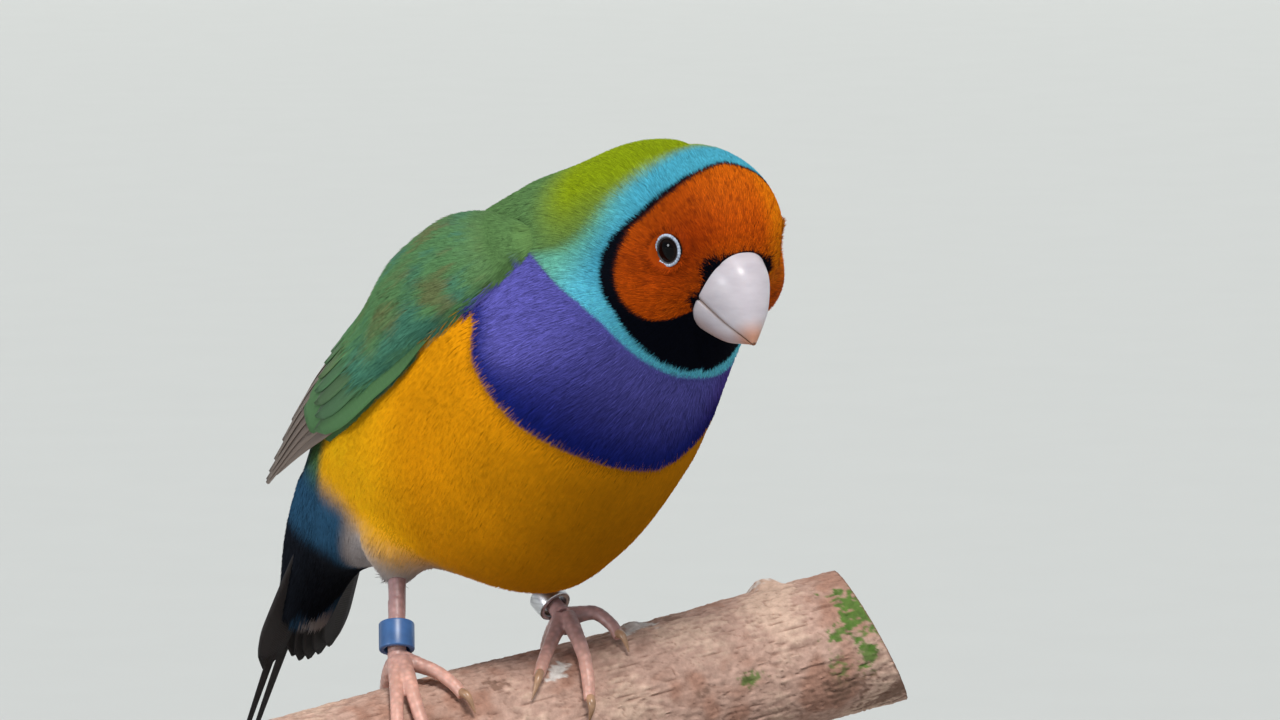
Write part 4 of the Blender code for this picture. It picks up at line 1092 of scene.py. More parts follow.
class FINCH_OT_coat(bpy.types.Operator):
    """Cover the skin with barbs that follow the lie of the plumage"""
    bl_idname = "finch.coat"
    bl_label = "Coat"

    def execute(self, context):
        draw = np.random.default_rng(SEED)
        size = sizes()
        feather = plumage_material("plumage")
        areas = (
            ("head", size.face_count, lambda q: smooth(20.5, 23.0, q @ BODY_AXIS)),
            ("body", size.body_count, lambda q: 1.0 - smooth(20.5, 23.0, q @ BODY_AXIS)),
        )
        for area, count, weigh in areas:
            p, n = skin_samples(count, draw, weigh)
            if area == "head":
                keep = beak_gaps(p) > 0.02
                for side in (1, -1):
                    away, height, _ = eye_ring(p, side)
                    keep &= (away > 1.10) | (np.abs(height) > EYE_REACH)
            else:
                keep = ~covered(p)
            p, n = p[keep], n[keep]
            number = len(p)
            gold = front_gold(p)
            loose = draw.normal(0, 1, number) * (0.10 - 0.05 * gold)
            way = swing(lie(p, n), n, ruffle(p, 0.2, 0.22, 3.0) + loose)
            head = to_head(p)
            fine = smooth(-4.0, 3.0, head[:, 1]) if area == "head" else np.zeros(number)
            length = (size.body_barb + (size.face_barb - size.body_barb) * fine) / MM
            length = length * draw.uniform(0.7, 1.25, number) * (1 + 0.35 * gold)
            length *= 0.26 + 0.74 * smooth(0.1, 1.5, border_gap(p))
            end = p + way * (length * 0.8)[:, None] + draw.normal(0, 0.05, (number, 3))
            gap = None
            if area == "head":
                gap = beak_gaps(end)
                length *= 1 - 0.55 * smooth(2.6, 0.6, gap)
            rgb, face = markings(end, gap)
            under, _ = markings(p + way * (length * 0.25)[:, None], gap)
            width = size.barb_width / MM * (1 - 0.30 * fine + 0.35 * gold)
            width = width * draw.uniform(0.75, 1.25, number)
            rise = (0.24 - 0.09 * fine - 0.11 * gold) * draw.uniform(0.4, 1.3, number)
            vary = 1 + (0.22 + 0.07 * face - 0.16 * gold) * draw.normal(0, 1, number)
            vary += 0.13 * gold * ruffle(p, 0.26, 1.0, 12.0)
            fleck = np.clip(ruffle(p, 2.0, 2.2, 9.0) - 0.25, 0, 1) * face * 0.55
            # Barb roots are painted darker than their tips, as painted shade deep in the coat; on the face
            # they take the mask's dark brown, which also marks its flecks
            root = mix(under * (0.36 + 0.54 * gold)[:, None], tint("mask_flecks_and_root_shade"), face)
            tip = mix(rgb * (vary * 1.08)[:, None], tint("mask_flecks_and_root_shade"), fleck)
            made = barbs(p, n, way, length, width, rise, root, tip)
            order = np.argsort(p[:, 0] if area == "head" else p @ BODY_AXIS, kind='stable')
            coat_pieces("coat_" + area, "feathers_" + area, feather, made, bake_patches(p), order)
        return {'FINISHED'}


# Vanes of wing and tail
def vane_arrays(centres, normals, half_widths, thick, camber, skew):
    """A closed thin blade: corners, triangles and its own across and along measures."""
    rows, columns = len(centres), VANE_COLUMNS
    way = unit(np.gradient(centres, axis=0))
    up = unit(normals - way * (normals * way).sum(1, keepdims=True))
    side = np.cross(up, way)
    x = np.linspace(-1, 1, columns)
    reach = np.concatenate(([0.0], np.cumsum(np.linalg.norm(np.diff(centres, axis=0), axis=1))))
    lean = skew * np.abs(x)[None, :] * half_widths[:, None]
    mid = (centres[:, None] + side[:, None] * (x[None, :, None] * half_widths[:, None, None])
           + up[:, None] * (camber * (1 - x ** 2))[None, :, None]
           - way[:, None] * lean[:, :, None])
    half = thick * 0.5 * (1 - 0.55 * np.abs(x) ** 3)
    shaft = np.where(np.arange(columns) == columns // 2, 0.07, 0.0)
    top = mid + up[:, None] * (half + shaft)[None, :, None]
    low = mid - up[:, None] * (half + shaft * 0.5)[None, :, None]
    verts = np.concatenate((top.reshape(-1, 3), low.reshape(-1, 3)))
    number = rows * columns
    a = (np.arange(rows - 1)[:, None] * columns + np.arange(columns - 1)[None]).ravel()
    quads = np.stack((a, a + columns, a + columns + 1, a + 1), 1)
    faces = [quads, quads[:, ::-1] + number]
    for edge, flip in ((np.arange(rows) * columns, False),
                       (np.arange(rows) * columns + columns - 1, True),
                       (np.arange(columns), True), ((rows - 1) * columns + np.arange(columns), False)):
        one, two = edge[:-1], edge[1:]
        strip = np.stack((one, one + number, two + number, two), 1)
        faces.append(strip[:, ::-1] if flip else strip)
    quads = np.concatenate(faces)
    tris = np.concatenate((quads[:, [0, 1, 2]], quads[:, [0, 2, 3]]))
    vane = np.zeros((number * 2, 3))
    vane[:, 0] = np.tile((x[None, :] * half_widths[:, None]).ravel(), 2)
    vane[:, 1] = np.tile(np.repeat(reach, columns), 2)
    share = np.tile(np.tile(x, rows), 2), np.tile(np.repeat(reach / reach[-1], columns), 2)
    return verts, tris, vane, share


class Plume:
    """Gathers many vanes into one piece, each in its own cell of the bake map."""

    def __init__(self):
        self.parts = []

    def add(self, made, rgb):
        self.parts.append((*made, rgb))

    def piece(self, name, material):
        cells = math.ceil(math.sqrt(len(self.parts)))
        verts, tris, vanes, colours, uvs = [], [], [], [], []
        start = 0
        for k, (v, t, vane, (x, y), rgb) in enumerate(self.parts):
            verts.append(v)
            tris.append(t + start)
            start += len(v)
            vane = vane.copy()
            vane[:, 2] = (k * 0.618) % 1.0
            vanes.append(vane)
            colours.append(rgb)
            under = np.repeat((0, 1), len(v) // 2)
            u = (k % cells + 0.06 + 0.42 * (x + 1) / 2 + 0.46 * under) / cells
            w = (k // cells + 0.05 + 0.9 * y) / cells
            uvs.append(np.stack((u, w), 1))
        return joined(name, np.concatenate(verts), np.concatenate(tris), material,
                      np.concatenate(colours), np.concatenate(uvs), np.concatenate(vanes))


def flight_width(f):
    return (0.55 + 0.45 * np.clip(f / 0.3, 0, 1)) * np.sqrt(
        np.clip(1 - (np.clip(f - 0.78, 0, 1) / 0.222) ** 2.2, 0, 1))


def wing_vane(side, root, tip, half, lifts, tilt, rows):
    """One long feather of the folded wing, from root to tip in t and v."""
    f = np.linspace(0, 1, rows)
    t = root[0] + (tip[0] - root[0]) * f
    v = root[1] + (tip[1] - root[1]) * f
    centres = wing_point(side, t, v, lifts[0] + (lifts[1] - lifts[0]) * f)
    _, normals = wing_axes(side, t, v)
    turn = Matrix.Rotation(math.radians(tilt * side), 3, Vector(unit(centres[-1] - centres[0])))
    widths = np.maximum(flight_width(f), 0.05) * half
    return vane_arrays(centres, normals @ np.array(turn).T, widths, sizes().vane_thick / MM, 0.12, 0.45)


def wing_tints(t, v, side):
    """Greens of the folded wing: blue-green low down, olive patches and a browner upper edge."""
    at = np.stack((t * 9.0, v * 4.0, np.full(len(t), 3.0 * side)), 1)
    patch = ruffle(at, 1.0, 1.0, 4.0)
    streak = ruffle(at * np.array((1.2, 6.0, 1.0)), 1.0, 1.0, 6.0)
    low = 0.55 * bell(v, 0.22, 0.18) * smooth(0.1, 0.3, t)
    gloss = smooth(-0.15, 0.45, 0.8 * patch + 0.5 * streak + low - 0.2)
    rgb = mix(tint("wing"), tint("wing_blue"), gloss)
    rgb = mix(rgb, tint("wing_olive"), 0.8 * smooth(0.0, 0.4, 0.6 * streak - 0.8 * patch))
    rgb = mix(rgb, tint("wing_front"), 0.85 * smooth(0.20, 0.0, t))
    upper = smooth(0.62, 1.0, v) * smooth(0.05, 0.3, t)
    return mix(rgb, WING_BROWN, 0.6 * upper * smooth(-0.5, 0.3, streak))


def vane_colours(made, inner, outer, edge, edge_width):
    """Colour across a vane: inner and outer web, a paler edge and a darker root."""
    x, y = made[3]
    rgb = mix(inner, outer, smooth(-0.12, 0.12, x))
    rgb = mix(rgb, edge, smooth(edge_width, 1.0, np.abs(x)) * 0.8)
    return rgb * (0.72 + 0.28 * smooth(0.0, 0.35, y))[:, None]


def wing_feathers(side, draw):
    """One wing's primaries, the outermost lowest, and the secondaries over them."""
    plume = Plume()

    def add(root, tip, half, lifts, tilt, rows, outer, inner, edge):
        made = wing_vane(side, root, tip, half, lifts, tilt, rows)
        webs = (inner, outer) if side > 0 else (outer, inner)
        plume.add(made, vane_colours(made, *webs, edge, 0.84))

    flight, green = tint("flight"), tint("secondary")
    for k, end in enumerate(PRIMARY_ENDS):
        rise = -0.80 + 0.10 * k
        add((0.46, 0.17 + 0.035 * k), (end, 0.15 + 0.09 * k), 1.55, (-1.4, rise + 0.25), 4.0, 24,
            flight * draw.uniform(0.9, 1.1), flight * 0.55, flight * 1.7)
    for k in range(SECONDARIES):
        g = k / (SECONDARIES - 1)
        v = 0.14 + 0.78 * g
        end = 0.80 - 0.13 * g ** 1.3 + draw.uniform(-0.006, 0.006)
        shade = mix(green, wing_tints(np.array([0.62]), np.array([v]), side)[0], 0.35)
        shade = shade * draw.uniform(0.88, 1.12)
        add((0.42, v), (end, 0.13 + 0.80 * g), 1.75, (-1.0, -0.12 + 0.02 * k), 5.0, 20,
            shade, shade * 0.55, shade * 1.4)
    return plume


def shoulder_barbs(side, draw):
    """Barbs over the wing's soft top, which give way to its long feathers."""
    number = sizes().wing_count
    t = draw.uniform(PAD_T[0], 0.64, number)
    v = draw.uniform(PAD_V[0], 1.10, number)
    keep = (draw.random(number) < smooth(0.64, 0.54, t)) & (pad_rise(t, v) > 0.25 - 0.15 * (t < 0.05))
    t, v = t[keep], v[keep]
    p = pad_point(side, t, v)
    way, n = wing_axes(side, t, v, pad_point)
    lapped = smooth(0.03, -0.03, v - lap(t) + draw.normal(0, 0.012, len(t)))
    over = lapped > 0.5
    way = unit(mix(way, lie(p, n), np.maximum(lapped, smooth(0.08, 0.0, t))))
    way = swing(way, n, ruffle(p, 0.3, 0.25, 5.0) + draw.normal(0, 0.10, len(t)))
    front, _ = front_tints(p, *round_axis(p))
    near, _ = markings(p)
    above, _ = markings(pad_point(side, t, np.maximum(v, 0.6)))
    rgb = mix(wing_tints(t, v, side), above, smooth(0.20, 0.02, t))
    rgb = mix(rgb, np.where((t < 0.0)[:, None], near, front), over)
    length = (1.6 + 2.2 * smooth(0.1, 0.45, t)) * draw.uniform(0.75, 1.2, len(t))
    length = np.where(over, 1.9, length)
    width = 0.155 * draw.uniform(0.75, 1.25, len(t))
    rise = (0.26 + 0.10 * over) * draw.uniform(0.5, 1.3, len(t))
    vary = 1 + 0.15 * draw.normal(0, 1, len(t))
    # The barbs' roots are painted at half their colour, as painted shade deep in the coat
    made = barbs(p, n, way, length, width, rise, rgb * 0.5, rgb * (vary * 1.08)[:, None])
    return made, wing_patches(t, v, side), np.argsort(t, kind='stable')


class FINCH_OT_wings(bpy.types.Operator):
    """Make both folded wings: long feathers, and barbs over the shoulder"""
    bl_idname = "finch.wings"
    bl_label = "Wings"

    def execute(self, context):
        draw = np.random.default_rng(SEED + 1)
        vanes = vane_material("wing_feathers")
        down = plumage_material("wing_down")
        for side, name in ((1, "wing_right"), (-1, "wing_left")):
            feathers = wing_feathers(side, draw).piece(name + "_feathers", vanes)
            place_piece(feathers, "feathers_wing", name)
            pad = shaped(72, 90, lambda u, v: wing_pad(side, u, v))
            obj = settle(name + "_shoulder", pad, down)
            # The soft top is painted a darker green, as painted shade under its barbs
            paint(obj.data, np.tile(tint("wing") * SKIN_PAINTED_SHADE, (len(obj.data.vertices), 1)))
            place_piece(obj, "feathers_wing")
            coat_pieces(name + "_barbs", "feathers_wing", down, *shoulder_barbs(side, draw))
        return {'FINISHED'}


def wing_pad(side, u, v):
    """The closed body of the wing under its feathers."""
    t = PAD_T[0] + PAD_T[1] * v
    over = u < 0.5
    across = np.where(over, 2 * u, 2 - 2 * u)
    deep = (2.0 - 1.4 * smooth(0.45, 0.78, t)) * (1 - (2 * across - 1) ** 6)
    return pad_point(side, t, PAD_V[0] + PAD_V[1] * across, np.where(over, 0.0, -deep))


def wing_patches(t, v, side):
    """Small patches on the wing's own unwrap."""
    u = (v + 0.05) / 1.15 * 0.45 + (0.02 if side > 0 else 0.52)
    return np.stack((u, (t + 0.2) / 0.9), 1)[:, None, :] + BAKE_PATCH


class FINCH_OT_tail(bpy.types.Operator):
    """Make the tail feather by feather, with its two long pins"""
    bl_idname = "finch.tail"
    bl_label = "Tail"

    def execute(self, context):
        black = tint("tail")
        up = np.array((0.0, 0.848, 0.518))
        up = unit(up - TAIL_WAY * (up @ TAIL_WAY))
        right = unit(np.cross(up, TAIL_WAY))
        thick = sizes().vane_thick / MM * 1.1
        plume = Plume()
        for k, length in enumerate(TAIL_LENGTHS):
            for side in (1, -1):
                fan = math.radians(-0.5 + 1.25 * k)
                way = unit(TAIL_WAY * math.cos(fan) + right * side * math.sin(fan))
                start = TAIL_ROOT + TAIL_WAY * (TAIL_CUT + 1.0)
                start = start + right * side * (0.85 + 0.40 * k) + up * (0.9 - TAIL_LAYER * k)
                if side < 0:
                    start = start - up * TAIL_LAYER * 0.5
                rows = 40 if k == 0 else 26
                f = np.linspace(0, 1, rows)
                reach = length - TAIL_CUT - 1.0
                centres = start + way * (reach * f)[:, None] - up * (0.6 * f * f)[:, None]
                turn = np.array(Matrix.Rotation(math.radians(1.4 * k) * side, 3, Vector(TAIL_WAY)))
                if k == 0:
                    widths = 1.5 - 1.15 * np.clip(f * 1.3, 0, 1) ** 0.8
                    widths *= 0.35 + 0.65 * np.sqrt(np.clip((1 - f) / 0.04, 0, 1))
                else:
                    widths = TAIL_VANE_WIDTH * 0.5 * np.maximum(flight_width(f), 0.06)
                made = vane_arrays(centres, np.tile(turn @ up, (rows, 1)), widths, thick, 0.1, 0.5)
                rgb = vane_colours(made, black, black * 1.3, black * 1.6, 0.85)
                upper = np.repeat((1.0, 0.0), len(rgb) // 2)
                plume.add(made, mix(mix(rgb, TAIL_DUSK, 0.75), rgb, upper))
        place_piece(plume.piece("tail_feathers", vane_material("tail_feathers")), "feathers_tail", "tail")
        return {'FINISHED'}


# Head pieces
def beak_mesh(lower):
    """One mandible between its profile line and the mouth."""
    edge_line = JAW_LINE if lower else CULMEN
    half_widths = np.array(BEAK_HALF_WIDTHS)[:, None]
    away = -1 if lower else 1

    def place(u, v):
        q = v * (len(MOUTH_LINE) - 1)
        mouth = along(MOUTH_LINE, q)
        edge = along(edge_line, q)
        half = along(half_widths, q)[:, 0] * (0.93 + 0.14 * (1 - v) ** 2 if lower else 1.0)
        a = np.pi * (np.clip(u / BEAK_ARC, 0, 1) - 0.5)
        back = np.clip((u - BEAK_ARC) / (1 - BEAK_ARC), 0, 1)
        c = np.clip(np.cos(a), 0, 1) ** 0.85
        x = np.sign(np.sin(a)) * np.abs(np.sin(a)) ** 0.9 * half * np.where(back > 0, 1 - 2 * back, 1.0)
        y = mouth[:, 0] + (edge[:, 0] - mouth[:, 0]) * c
        z = mouth[:, 1] + (edge[:, 1] - mouth[:, 1]) * c + away * BEAK_GAP * 0.5
        z += np.where(back > 0, away * 0.1 * np.sin(np.pi * back), 0.0)
        point = np.stack((x, y, z), 1)
        for side in () if lower else (1, -1):
            off = np.linalg.norm((point - mirrored(NOSTRIL_PLACE, side)) * (1.0, 1.0, 1.5), axis=1)
            point -= bell(off, 0.0, 0.42)[:, None] * 0.32 * np.array((side * 0.8, 0.25, 0.5))
        return in_head(point)

    return shaped(72, 64, place)


def beak_tints(h, lower):
    """Pearl with a redder tip and painted shade over its right side, tan with painted shade low on the
    lower mandible, the brown line of the mouth and painted shade in the nostrils.
    """
    reach = smooth(3.1, 0.6, np.linalg.norm(h - BEAK_TIP, axis=1))
    rgb = mix(tint("beak"), tint("beak_tip"), reach * 0.85)
    # Painted shade darkens the beak's right side
    rgb = rgb * (1 - smooth(-1.0, 3.8, h[:, 0])[:, None] * 0.20)
    if lower:
        # The lower mandible turns tan and darker towards its bottom: tan, with painted shade
        rgb = rgb * mix(np.ones(3), LOWER_BEAK_TAN_AND_PAINTED_SHADE, smooth(-4.2, -6.2, h[:, 2]))
        under = smooth(-5.9, -6.9, h[:, 2]) * smooth(8.0, 11.5, h[:, 1])
        rgb = mix(rgb, tint("beak_tip"), under * 0.6)
    mouth = border(np.array(MOUTH_LINE), h[:, 1], 1)
    rgb = mix(rgb, MOUTH_BROWN, bell(h[:, 2], mouth, 0.20) * 0.6)
    for side in () if lower else (1, -1):
        off = np.linalg.norm(h - mirrored(NOSTRIL_PLACE, side), axis=1)
        # Painted shade in each nostril's opening
        rgb = mix(rgb, NOSTRIL_PAINTED_SHADE, bell(off, 0.0, 0.40) * 0.8)
    return rgb


def beak_material():
    made = Finish("beak_horn", 0.36)
    grain = made.noise(1.0, 5.0, stretch=(300.0, 300.0, 900.0))
    made.shaded(made.ramp(grain, (0.3, (0.88, 0.86, 0.88)), (0.7, (1.06, 1.05, 1.05))))
    made.flesh(0.12, (0.0012, 0.0006, 0.0004))
    made.set(Coat_Weight=0.05, Coat_Roughness=0.2)
    made.bump(grain, 0.12, 0.00008)
    return made.mat


class FINCH_OT_beak(bpy.types.Operator):
    """Make the two mandibles with their nostrils"""
    bl_idname = "finch.beak"
    bl_label = "Beak"

    def execute(self, context):
        material = beak_material()
        for lower, name in ((False, "beak_upper"), (True, "beak_lower")):
            obj = settle(name + "_horn", beak_mesh(lower), material)
            paint(obj.data, beak_tints(to_head(points_of(obj)), lower))
            place_piece(obj, "horn_beak", name)
        return {'FINISHED'}


def eye_materials():
    """Glass for the globe, pale skin for the lids and dark skin for their margin."""
    glass = Finish("eye", 0.04)
    glass.colour_from(glass.painted())
    glass.set(Specular_IOR_Level=0.12)
    pale = tint("eyelid")
    lid = Finish("eyelid", 0.55)
    lid.mottled(lid.noise(2600.0, 2.0), (0.3, pale * 0.5), (0.6, pale))
    margin = Finish("eyelid_margin", 0.4)
    margin.mottled(margin.noise(3000.0, 2.0), (0.3, (0.012, 0.010, 0.012)), (0.7, (0.045, 0.038, 0.042)))
    return glass.mat, lid.mat, margin.mat


def lid_ring(side, inset, bead, high, beads):
    """A ring round an eye, inset from the lids' line, beaded or plain."""
    place, facing = eye_frame(side)
    across, up = lid_axes(side)

    def rim(u, v):
        turn, a = 2 * np.pi * v, 2 * np.pi * u
        size = bead * (1 + 0.32 * (np.abs(np.sin(turn * beads * 0.5)) ** 0.7 - 0.6) * (beads > 0))
        off = size * np.cos(a) - inset
        height = high + size * np.sin(a) * 0.95
        return (place + across * (np.cos(turn) * (LID_ACROSS + off))[:, None]
                + up * (np.sin(turn) * (LID_TALL + off))[:, None] + facing * height[:, None])

    return shaped(14, 288, rim, caps=False)


class FINCH_OT_eyes(bpy.types.Operator):
    """Make the eyes and their beaded lids"""
    bl_idname = "finch.eyes"
    bl_label = "Eyes and lids"

    def execute(self, context):
        glass, lid, margin = eye_materials()
        for side, name in ((1, "right"), (-1, "left")):
            place, facing = eye_frame(side)
            centre = place - facing * EYE_DEPTH
            obj = settle("eye_%s_globe" % name, ball((EYE_RADIUS,) * 3, centre, None, 64, 40), glass)
            away = np.degrees(np.arccos(np.clip(unit(points_of(obj) - centre) @ facing, -1, 1)))
            paint(obj.data, mix(PUPIL, IRIS, smooth(23.0, 26.0, away)))
            place_piece(obj, "eye", "eye_" + name)
            place_piece(settle("lids_" + name, lid_ring(side, 0.0, LID_BEAD, 0.06, LID_BEADS), lid), "eye")
            place_piece(settle("lid_margin_" + name, lid_ring(side, 0.17, 0.17, -0.06, 0), margin), "eye")
        return {'FINISHED'}


# Legs
def scutes(a, q):
    """Overlapping plates over the top of a toe or shank."""
    saw = (q * 3.2) % 1.0
    return 1 + (0.085 * saw - 0.03) * smooth(-0.2, 0.7, np.sin(a)) + 0.03 * np.sin(a * 5 + q * 9) * (
        np.sin(a) < -0.2)


def shank_line(foot, ankle):
    """The shank's middle, from the toes' root up to the thigh."""
    return np.array((on_perch(foot["middle"][0][0] - 0.1, 0.0, 3.1), *ankle))


def toe_parts(places):
    """A toe and its claw, from places on the branch."""
    a, angle, off, radius = np.array(places).T
    points = on_perch(a, angle, off)
    outs = on_perch(a, angle, off + 1.0) - points
    flesh = tube(points, radius, 20, 44, outs, scutes)
    step = CLAW_TURN * (1 if angle[-1] > 0 else -1)
    slope = (a[-1] - a[-2]) / (angle[-1] - angle[-2])
    turn = step * (np.arange(5) / 4.0 - 0.10)
    height = np.array((0.25, 0.62, 0.55, 0.12, -0.28))
    claw_line = on_perch(a[-1] + slope * turn, angle[-1] + turn, off[-1] + height)
    return flesh, tube(claw_line, (0.50, 0.46, 0.34, 0.20, 0.045), 14, 18)


def leg_material():
    made = Finish("leg_scales", 0.42)
    spot = made.node("ShaderNodeTexVoronoi", in_Scale=1500.0)
    made.link(made.object_space(), spot.inputs["Vector"])
    distance = spot.outputs["Distance"]
    pink = tint("leg")
    blotches = made.ramp(made.noise(260.0, 4.0), (0.3, pink * 0.62), (0.7, pink * 1.1))
    plates = made.ramp(distance, (0.0, pink * 1.15), (0.6, pink * 0.6))
    made.colour_from(made.blend(0.5, blotches, plates))
    made.bump(distance, 0.25, 0.00006)
    made.shade_above(0.0285, 0.0325, (0.55, 0.58, 0.72))
    made.flesh(0.15, (0.0012, 0.0005, 0.0003))
    return made.mat


class FINCH_OT_legs(bpy.types.Operator):
    """Make the scaled legs and feet with their claws"""
    bl_idname = "finch.legs"
    bl_label = "Legs and claws"

    def execute(self, context):
        scales = leg_material()
        horn = Finish("claw_horn", 0.3)
        brown = tint("claw")
        horn.mottled(horn.noise(1.0, 3.0, stretch=(500.0, 500.0, 900.0)), (0.3, brown * 0.6), (0.7, brown))
        for foot, ankle, name in ((RIGHT_FOOT, RIGHT_ANKLE, "right"), (LEFT_FOOT, LEFT_ANKLE, "left")):
            r = TARSUS_RADIUS
            shank = tube(shank_line(foot, ankle), (r + 0.12, r, r + 0.05, r + 0.35), 26, 90, None, scutes)
            pad = ball((1.35, 1.35, 1.2), on_perch(foot["middle"][0][0], 1.0, 2.2))
            toes = [toe_parts(foot[key]) for key in ("outer", "middle", "inner", "hind")]
            mesh = remeshed(merged([shank, pad] + [flesh for flesh, _ in toes]), LEG_VOXEL, 2)
            to_metres(mesh, vertex_arrays(mesh)[0])
            place_piece(dressed("leg_%s_skin" % name, mesh, scales), "scaled_skin", "leg_" + name)
            claws = merged([claw for _, claw in toes])
            place_piece(settle("claws_" + name, claws, horn.mat), "scaled_skin")
        return {'FINISHED'}


def turned(profile, place, way, steps=72):
    """A closed outline of radius and height turned about an axis."""
    bm = bmesh.new()
    way = Vector(way).normalized()
    side = way.orthogonal().normalized()
    place = Vector(place)
    verts = [bm.verts.new(place + side * r + way * h) for r, h in profile]
    edges = [bm.edges.new((verts[i], verts[(i + 1) % len(verts)])) for i in range(len(verts))]
    bmesh.ops.spin(bm, geom=verts + edges, cent=place, axis=way, dvec=(0, 0, 0),
                   angle=2 * math.pi, steps=steps, use_merge=True, use_duplicate=False)
    bmesh.ops.remove_doubles(bm, verts=bm.verts[:], dist=1e-4)
    bmesh.ops.recalc_face_normals(bm, faces=bm.faces[:])
    return bm


def rounded(r0, r1, low, high, edge, steps=4):
    """A rectangle of radius and height with rounded corners."""
    outline = []
    for cx, cy, start in ((r1 - edge, low + edge, -90), (r1 - edge, high - edge, 0),
                          (r0 + edge, high - edge, 90), (r0 + edge, low + edge, 180)):
        for k in range(steps + 1):
            a = math.radians(start + 90 * k / steps)
            outline.append((cx + edge * math.cos(a), cy + edge * math.sin(a)))
    return outline


class FINCH_OT_rings(bpy.types.Operator):
    """Make the plastic and the metal leg ring"""
    bl_idname = "finch.rings"
    bl_label = "Leg rings"

    def execute(self, context):
        blue = tint("ring_blue")
        plastic = Finish("ring_plastic", 0.35)
        plastic.mottled(plastic.noise(400.0), (0.35, blue * 0.75), (0.65, blue * 1.15))
        metal = Finish("ring_metal", 0.3, 1.0)
        scratch = metal.noise(1.0, 3.0, stretch=(200.0, 200.0, 4000.0))
        metal.mottled(scratch, (0.3, (0.5, 0.5, 0.52)), (0.7, (0.78, 0.78, 0.8)))
        metal.bump(scratch, 0.15, 0.00004)
        bore = TARSUS_RADIUS + RING_PLAY
        for foot, ankle, at, height, name, slot, finish in (
                (RIGHT_FOOT, RIGHT_ANKLE, 0.85, 3.0, "right", "ring_blue", plastic),
                (LEFT_FOOT, LEFT_ANKLE, 1.15, 2.2, "left", "ring_metal", metal)):
            line = shank_line(foot, ankle)
            way = unit(along(line, at + 0.1) - along(line, at - 0.1))
            profile = rounded(bore, bore + RING_THICK, -height / 2, height / 2, 0.16)
            obj = settle("ring_%s_band" % name, turned(profile, along(line, at), way), finish.mat)
            place_piece(obj, slot, "ring_" + name)
        return {'FINISHED'}


# Branch and stand
def bark_relief(a, angle):
    """Height of the bark over the branch, how open its cracks are, and a fine grain."""
    out = []
    for place, turn in zip(a, np.radians(angle)):
        c, s = math.cos(turn), math.sin(turn)

        def rough(stretch, wide, shift=0.0, up=0.0):
            return noise.noise(Vector((place * stretch + shift, c * wide, s * wide + up)))

        warp = rough(0.20, 2.6) * 1.1
        out.append((rough(0.06, 1.2), rough(0.17, 7.0, warp), rough(0.42, 4.0, -warp, 5.0),
                    rough(0.8, 17.0), rough(2.6, 30.0)))
    slow, ridge, cross, fine, grit = np.array(out).T
    crack = np.maximum(0.8 * bell(ridge, 0.0, 0.035), 0.55 * bell(cross, 0.0, 0.022))
    high = 0.10 + 0.26 * slow - 0.20 * crack + 0.14 * fine + 0.07 * grit
    for at, turn, wide, tall in KNOTS:
        off = np.hypot((a - at) / wide, turned_from(angle, turn) * math.radians(PERCH_RADIUS) / wide)
        high = high + tall * smooth(1.25, 0.25, off + 0.25 * fine)
    return high, crack, fine


def turned_from(angle, other):
    """The difference of two angles in degrees, between -180 and 180."""
    return (np.asarray(angle) - other + 180.0) % 360.0 - 180.0


def branch_point(u, v):
    """The branch from the middle of its left end, over its bark, to the middle of its slanting cut."""
    angle = u * 360.0
    q = v * (BARK_ROWS + 2 * END_ROWS)
    end = PERCH_CENTRE + PERCH_AXIS * PERCH_RIGHT
    last = np.full(len(u), PERCH_RIGHT)
    for _ in range(3):
        over = on_perch(last, angle, bark_relief(last, angle)[0]) - end
        last = last - (over @ PERCH_END_FACING) / (PERCH_AXIS @ PERCH_END_FACING)
    a = PERCH_LEFT + (last - PERCH_LEFT) * np.clip((q - END_ROWS) / BARK_ROWS, 0, 1)
    rim = on_perch(a, angle, bark_relief(a, angle)[0])
    left = np.clip(1 - q / END_ROWS, 0, 1)
    right = np.clip((q - END_ROWS - BARK_ROWS) / END_ROWS, 0, 1)
    return mix(mix(rim, PERCH_CENTRE + PERCH_AXIS * PERCH_LEFT, left), end, right)


